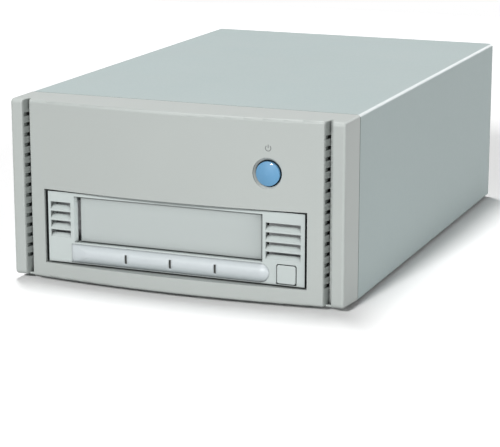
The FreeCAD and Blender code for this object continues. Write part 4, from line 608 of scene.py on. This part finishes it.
def add_power_mark():
    """An open ring with a bar, printed on the bowed panel above the power button."""
    low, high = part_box("power_button")
    middle = Vector(((low[0] + high[0]) / 2, (low[2] + high[2]) / 2 + MARK_RISE))
    mesh = bmesh.new()
    turns = [MARK_GAP + (2 * math.pi - 2 * MARK_GAP) * step / MARK_STEPS for step in range(MARK_STEPS + 1)]
    ring = [middle + Vector((math.sin(turn), math.cos(turn))) * MARK_RADIUS for turn in turns]
    bar = [middle + Vector((0, height * MARK_RADIUS)) for height in MARK_BAR]
    printed_strip(mesh, ring, MARK_STROKE)
    printed_strip(mesh, bar, MARK_STROKE)
    panel = BVHTree.FromObject(nodes["front_bezel"], bpy.context.evaluated_depsgraph_get())
    for vertex in mesh.verts:
        hit = panel.ray_cast(Vector((vertex.co.x, -1, vertex.co.z)), Vector((0, 1, 0)))[0]
        vertex.co.y = hit.y - INK_RAISE
    data = bpy.data.meshes.new("power_mark")
    mesh.to_mesh(data)
    mesh.free()
    mark = bpy.data.objects.new("power_mark", data)
    scene.collection.objects.link(mark)
    data.materials.append(ink("grey_ink", (0.16, 0.17, 0.17)))
    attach(mark, "enclosure")


# ---------------------------------------------------------------- floor and light

# What the room and the table send onto the object, and how white the table shows near it and at the rim.
ROOM_LEVEL = 0.03
FLOOR_BOUNCE = 0.45
FLOOR_WHITE = 1.10
FLOOR_RIM = 1.45
FLOOR_SIZE = 2.0

# Each lamp: name, way from the object, distance, width and height, and the white of a face turned to it.
LIGHT_CENTRE = Vector((0, 0, 0.05))
LAMPS = (
    ("lamp_key", (-0.13, 0.14, 1.0), 4.0, (0.4, 1.4), 0.55),
    ("lamp_front", (-0.06, -1.0, 0.46), 4.0, (0.4, 0.5), 0.75),
    ("lamp_right", (1.0, -0.25, 0.12), 4.0, (2.0, 0.6), 0.41),
    ("lamp_behind", (0.34, 0.92, 0.34), 4.0, (2.6, 1.0), 0.14),
)


def add_floor():
    """A plain white table that keeps the object's shadow."""
    bpy.ops.mesh.primitive_plane_add(size=FLOOR_SIZE)
    floor = bpy.context.object
    floor.name = "floor"
    material, s, surface = new_material("white_table")
    cloud = s.span(s.noise(3.0, 2.0, 0.5, s.place()), 0.3, 0.7, 0.98, 1.0)
    away = s.node("ShaderNodeVectorMath", operation="LENGTH")
    s.link(s.place(), away.inputs[0])
    # Painted light: the table's colour grows whiter away from the object, making up for the lamps' falloff
    # towards the rim.
    shown = s.span(away.outputs["Value"], 0.3, 1.0, FLOOR_WHITE, FLOOR_RIM)
    tone = s.math("MULTIPLY", cloud, s.span(s.seen(), 0.0, 1.0, FLOOR_BOUNCE, shown))
    s.link(s.grey(tone), surface["Base Color"])
    surface["Roughness"].default_value = 0.9
    surface["Specular IOR Level"].default_value = 0.1
    floor.data.materials.append(material)


def add_lamp(name, way, distance, size, level):
    """A soft square lamp towards the object.  Level is the white it gives a face turned to it."""
    data = bpy.data.lights.new(name, "AREA")
    data.shape = "RECTANGLE"
    data.size, data.size_y = size
    data.energy = level * (math.pi * distance) ** 2
    lamp = bpy.data.objects.new(name, data)
    way = Vector(way).normalized()
    lamp.location = LIGHT_CENTRE + way * distance
    lamp.rotation_euler = way.to_track_quat("Z", "Y").to_euler()
    scene.collection.objects.link(lamp)


def add_light():
    """A pale room, a soft key above, a lamp in front and low fill lamps at the right and behind."""
    world = bpy.data.worlds.new("studio")
    world.use_nodes = True
    scene.world = world
    s = Shading(world.node_tree)
    backdrop = world.node_tree.nodes["Background"]
    backdrop.inputs["Color"].default_value = (1, 1, 1, 1)
    s.link(s.span(s.seen(), 0.0, 1.0, ROOM_LEVEL, 1.0), backdrop.inputs["Strength"])
    for lamp in LAMPS:
        add_lamp(*lamp)


dress_nodes()
add_giving_spring("button_spring")
add_giving_spring("eject_spring")
add_power_mark()
add_floor()
add_light()
add_camera()
scene.view_settings.view_transform = "Standard"
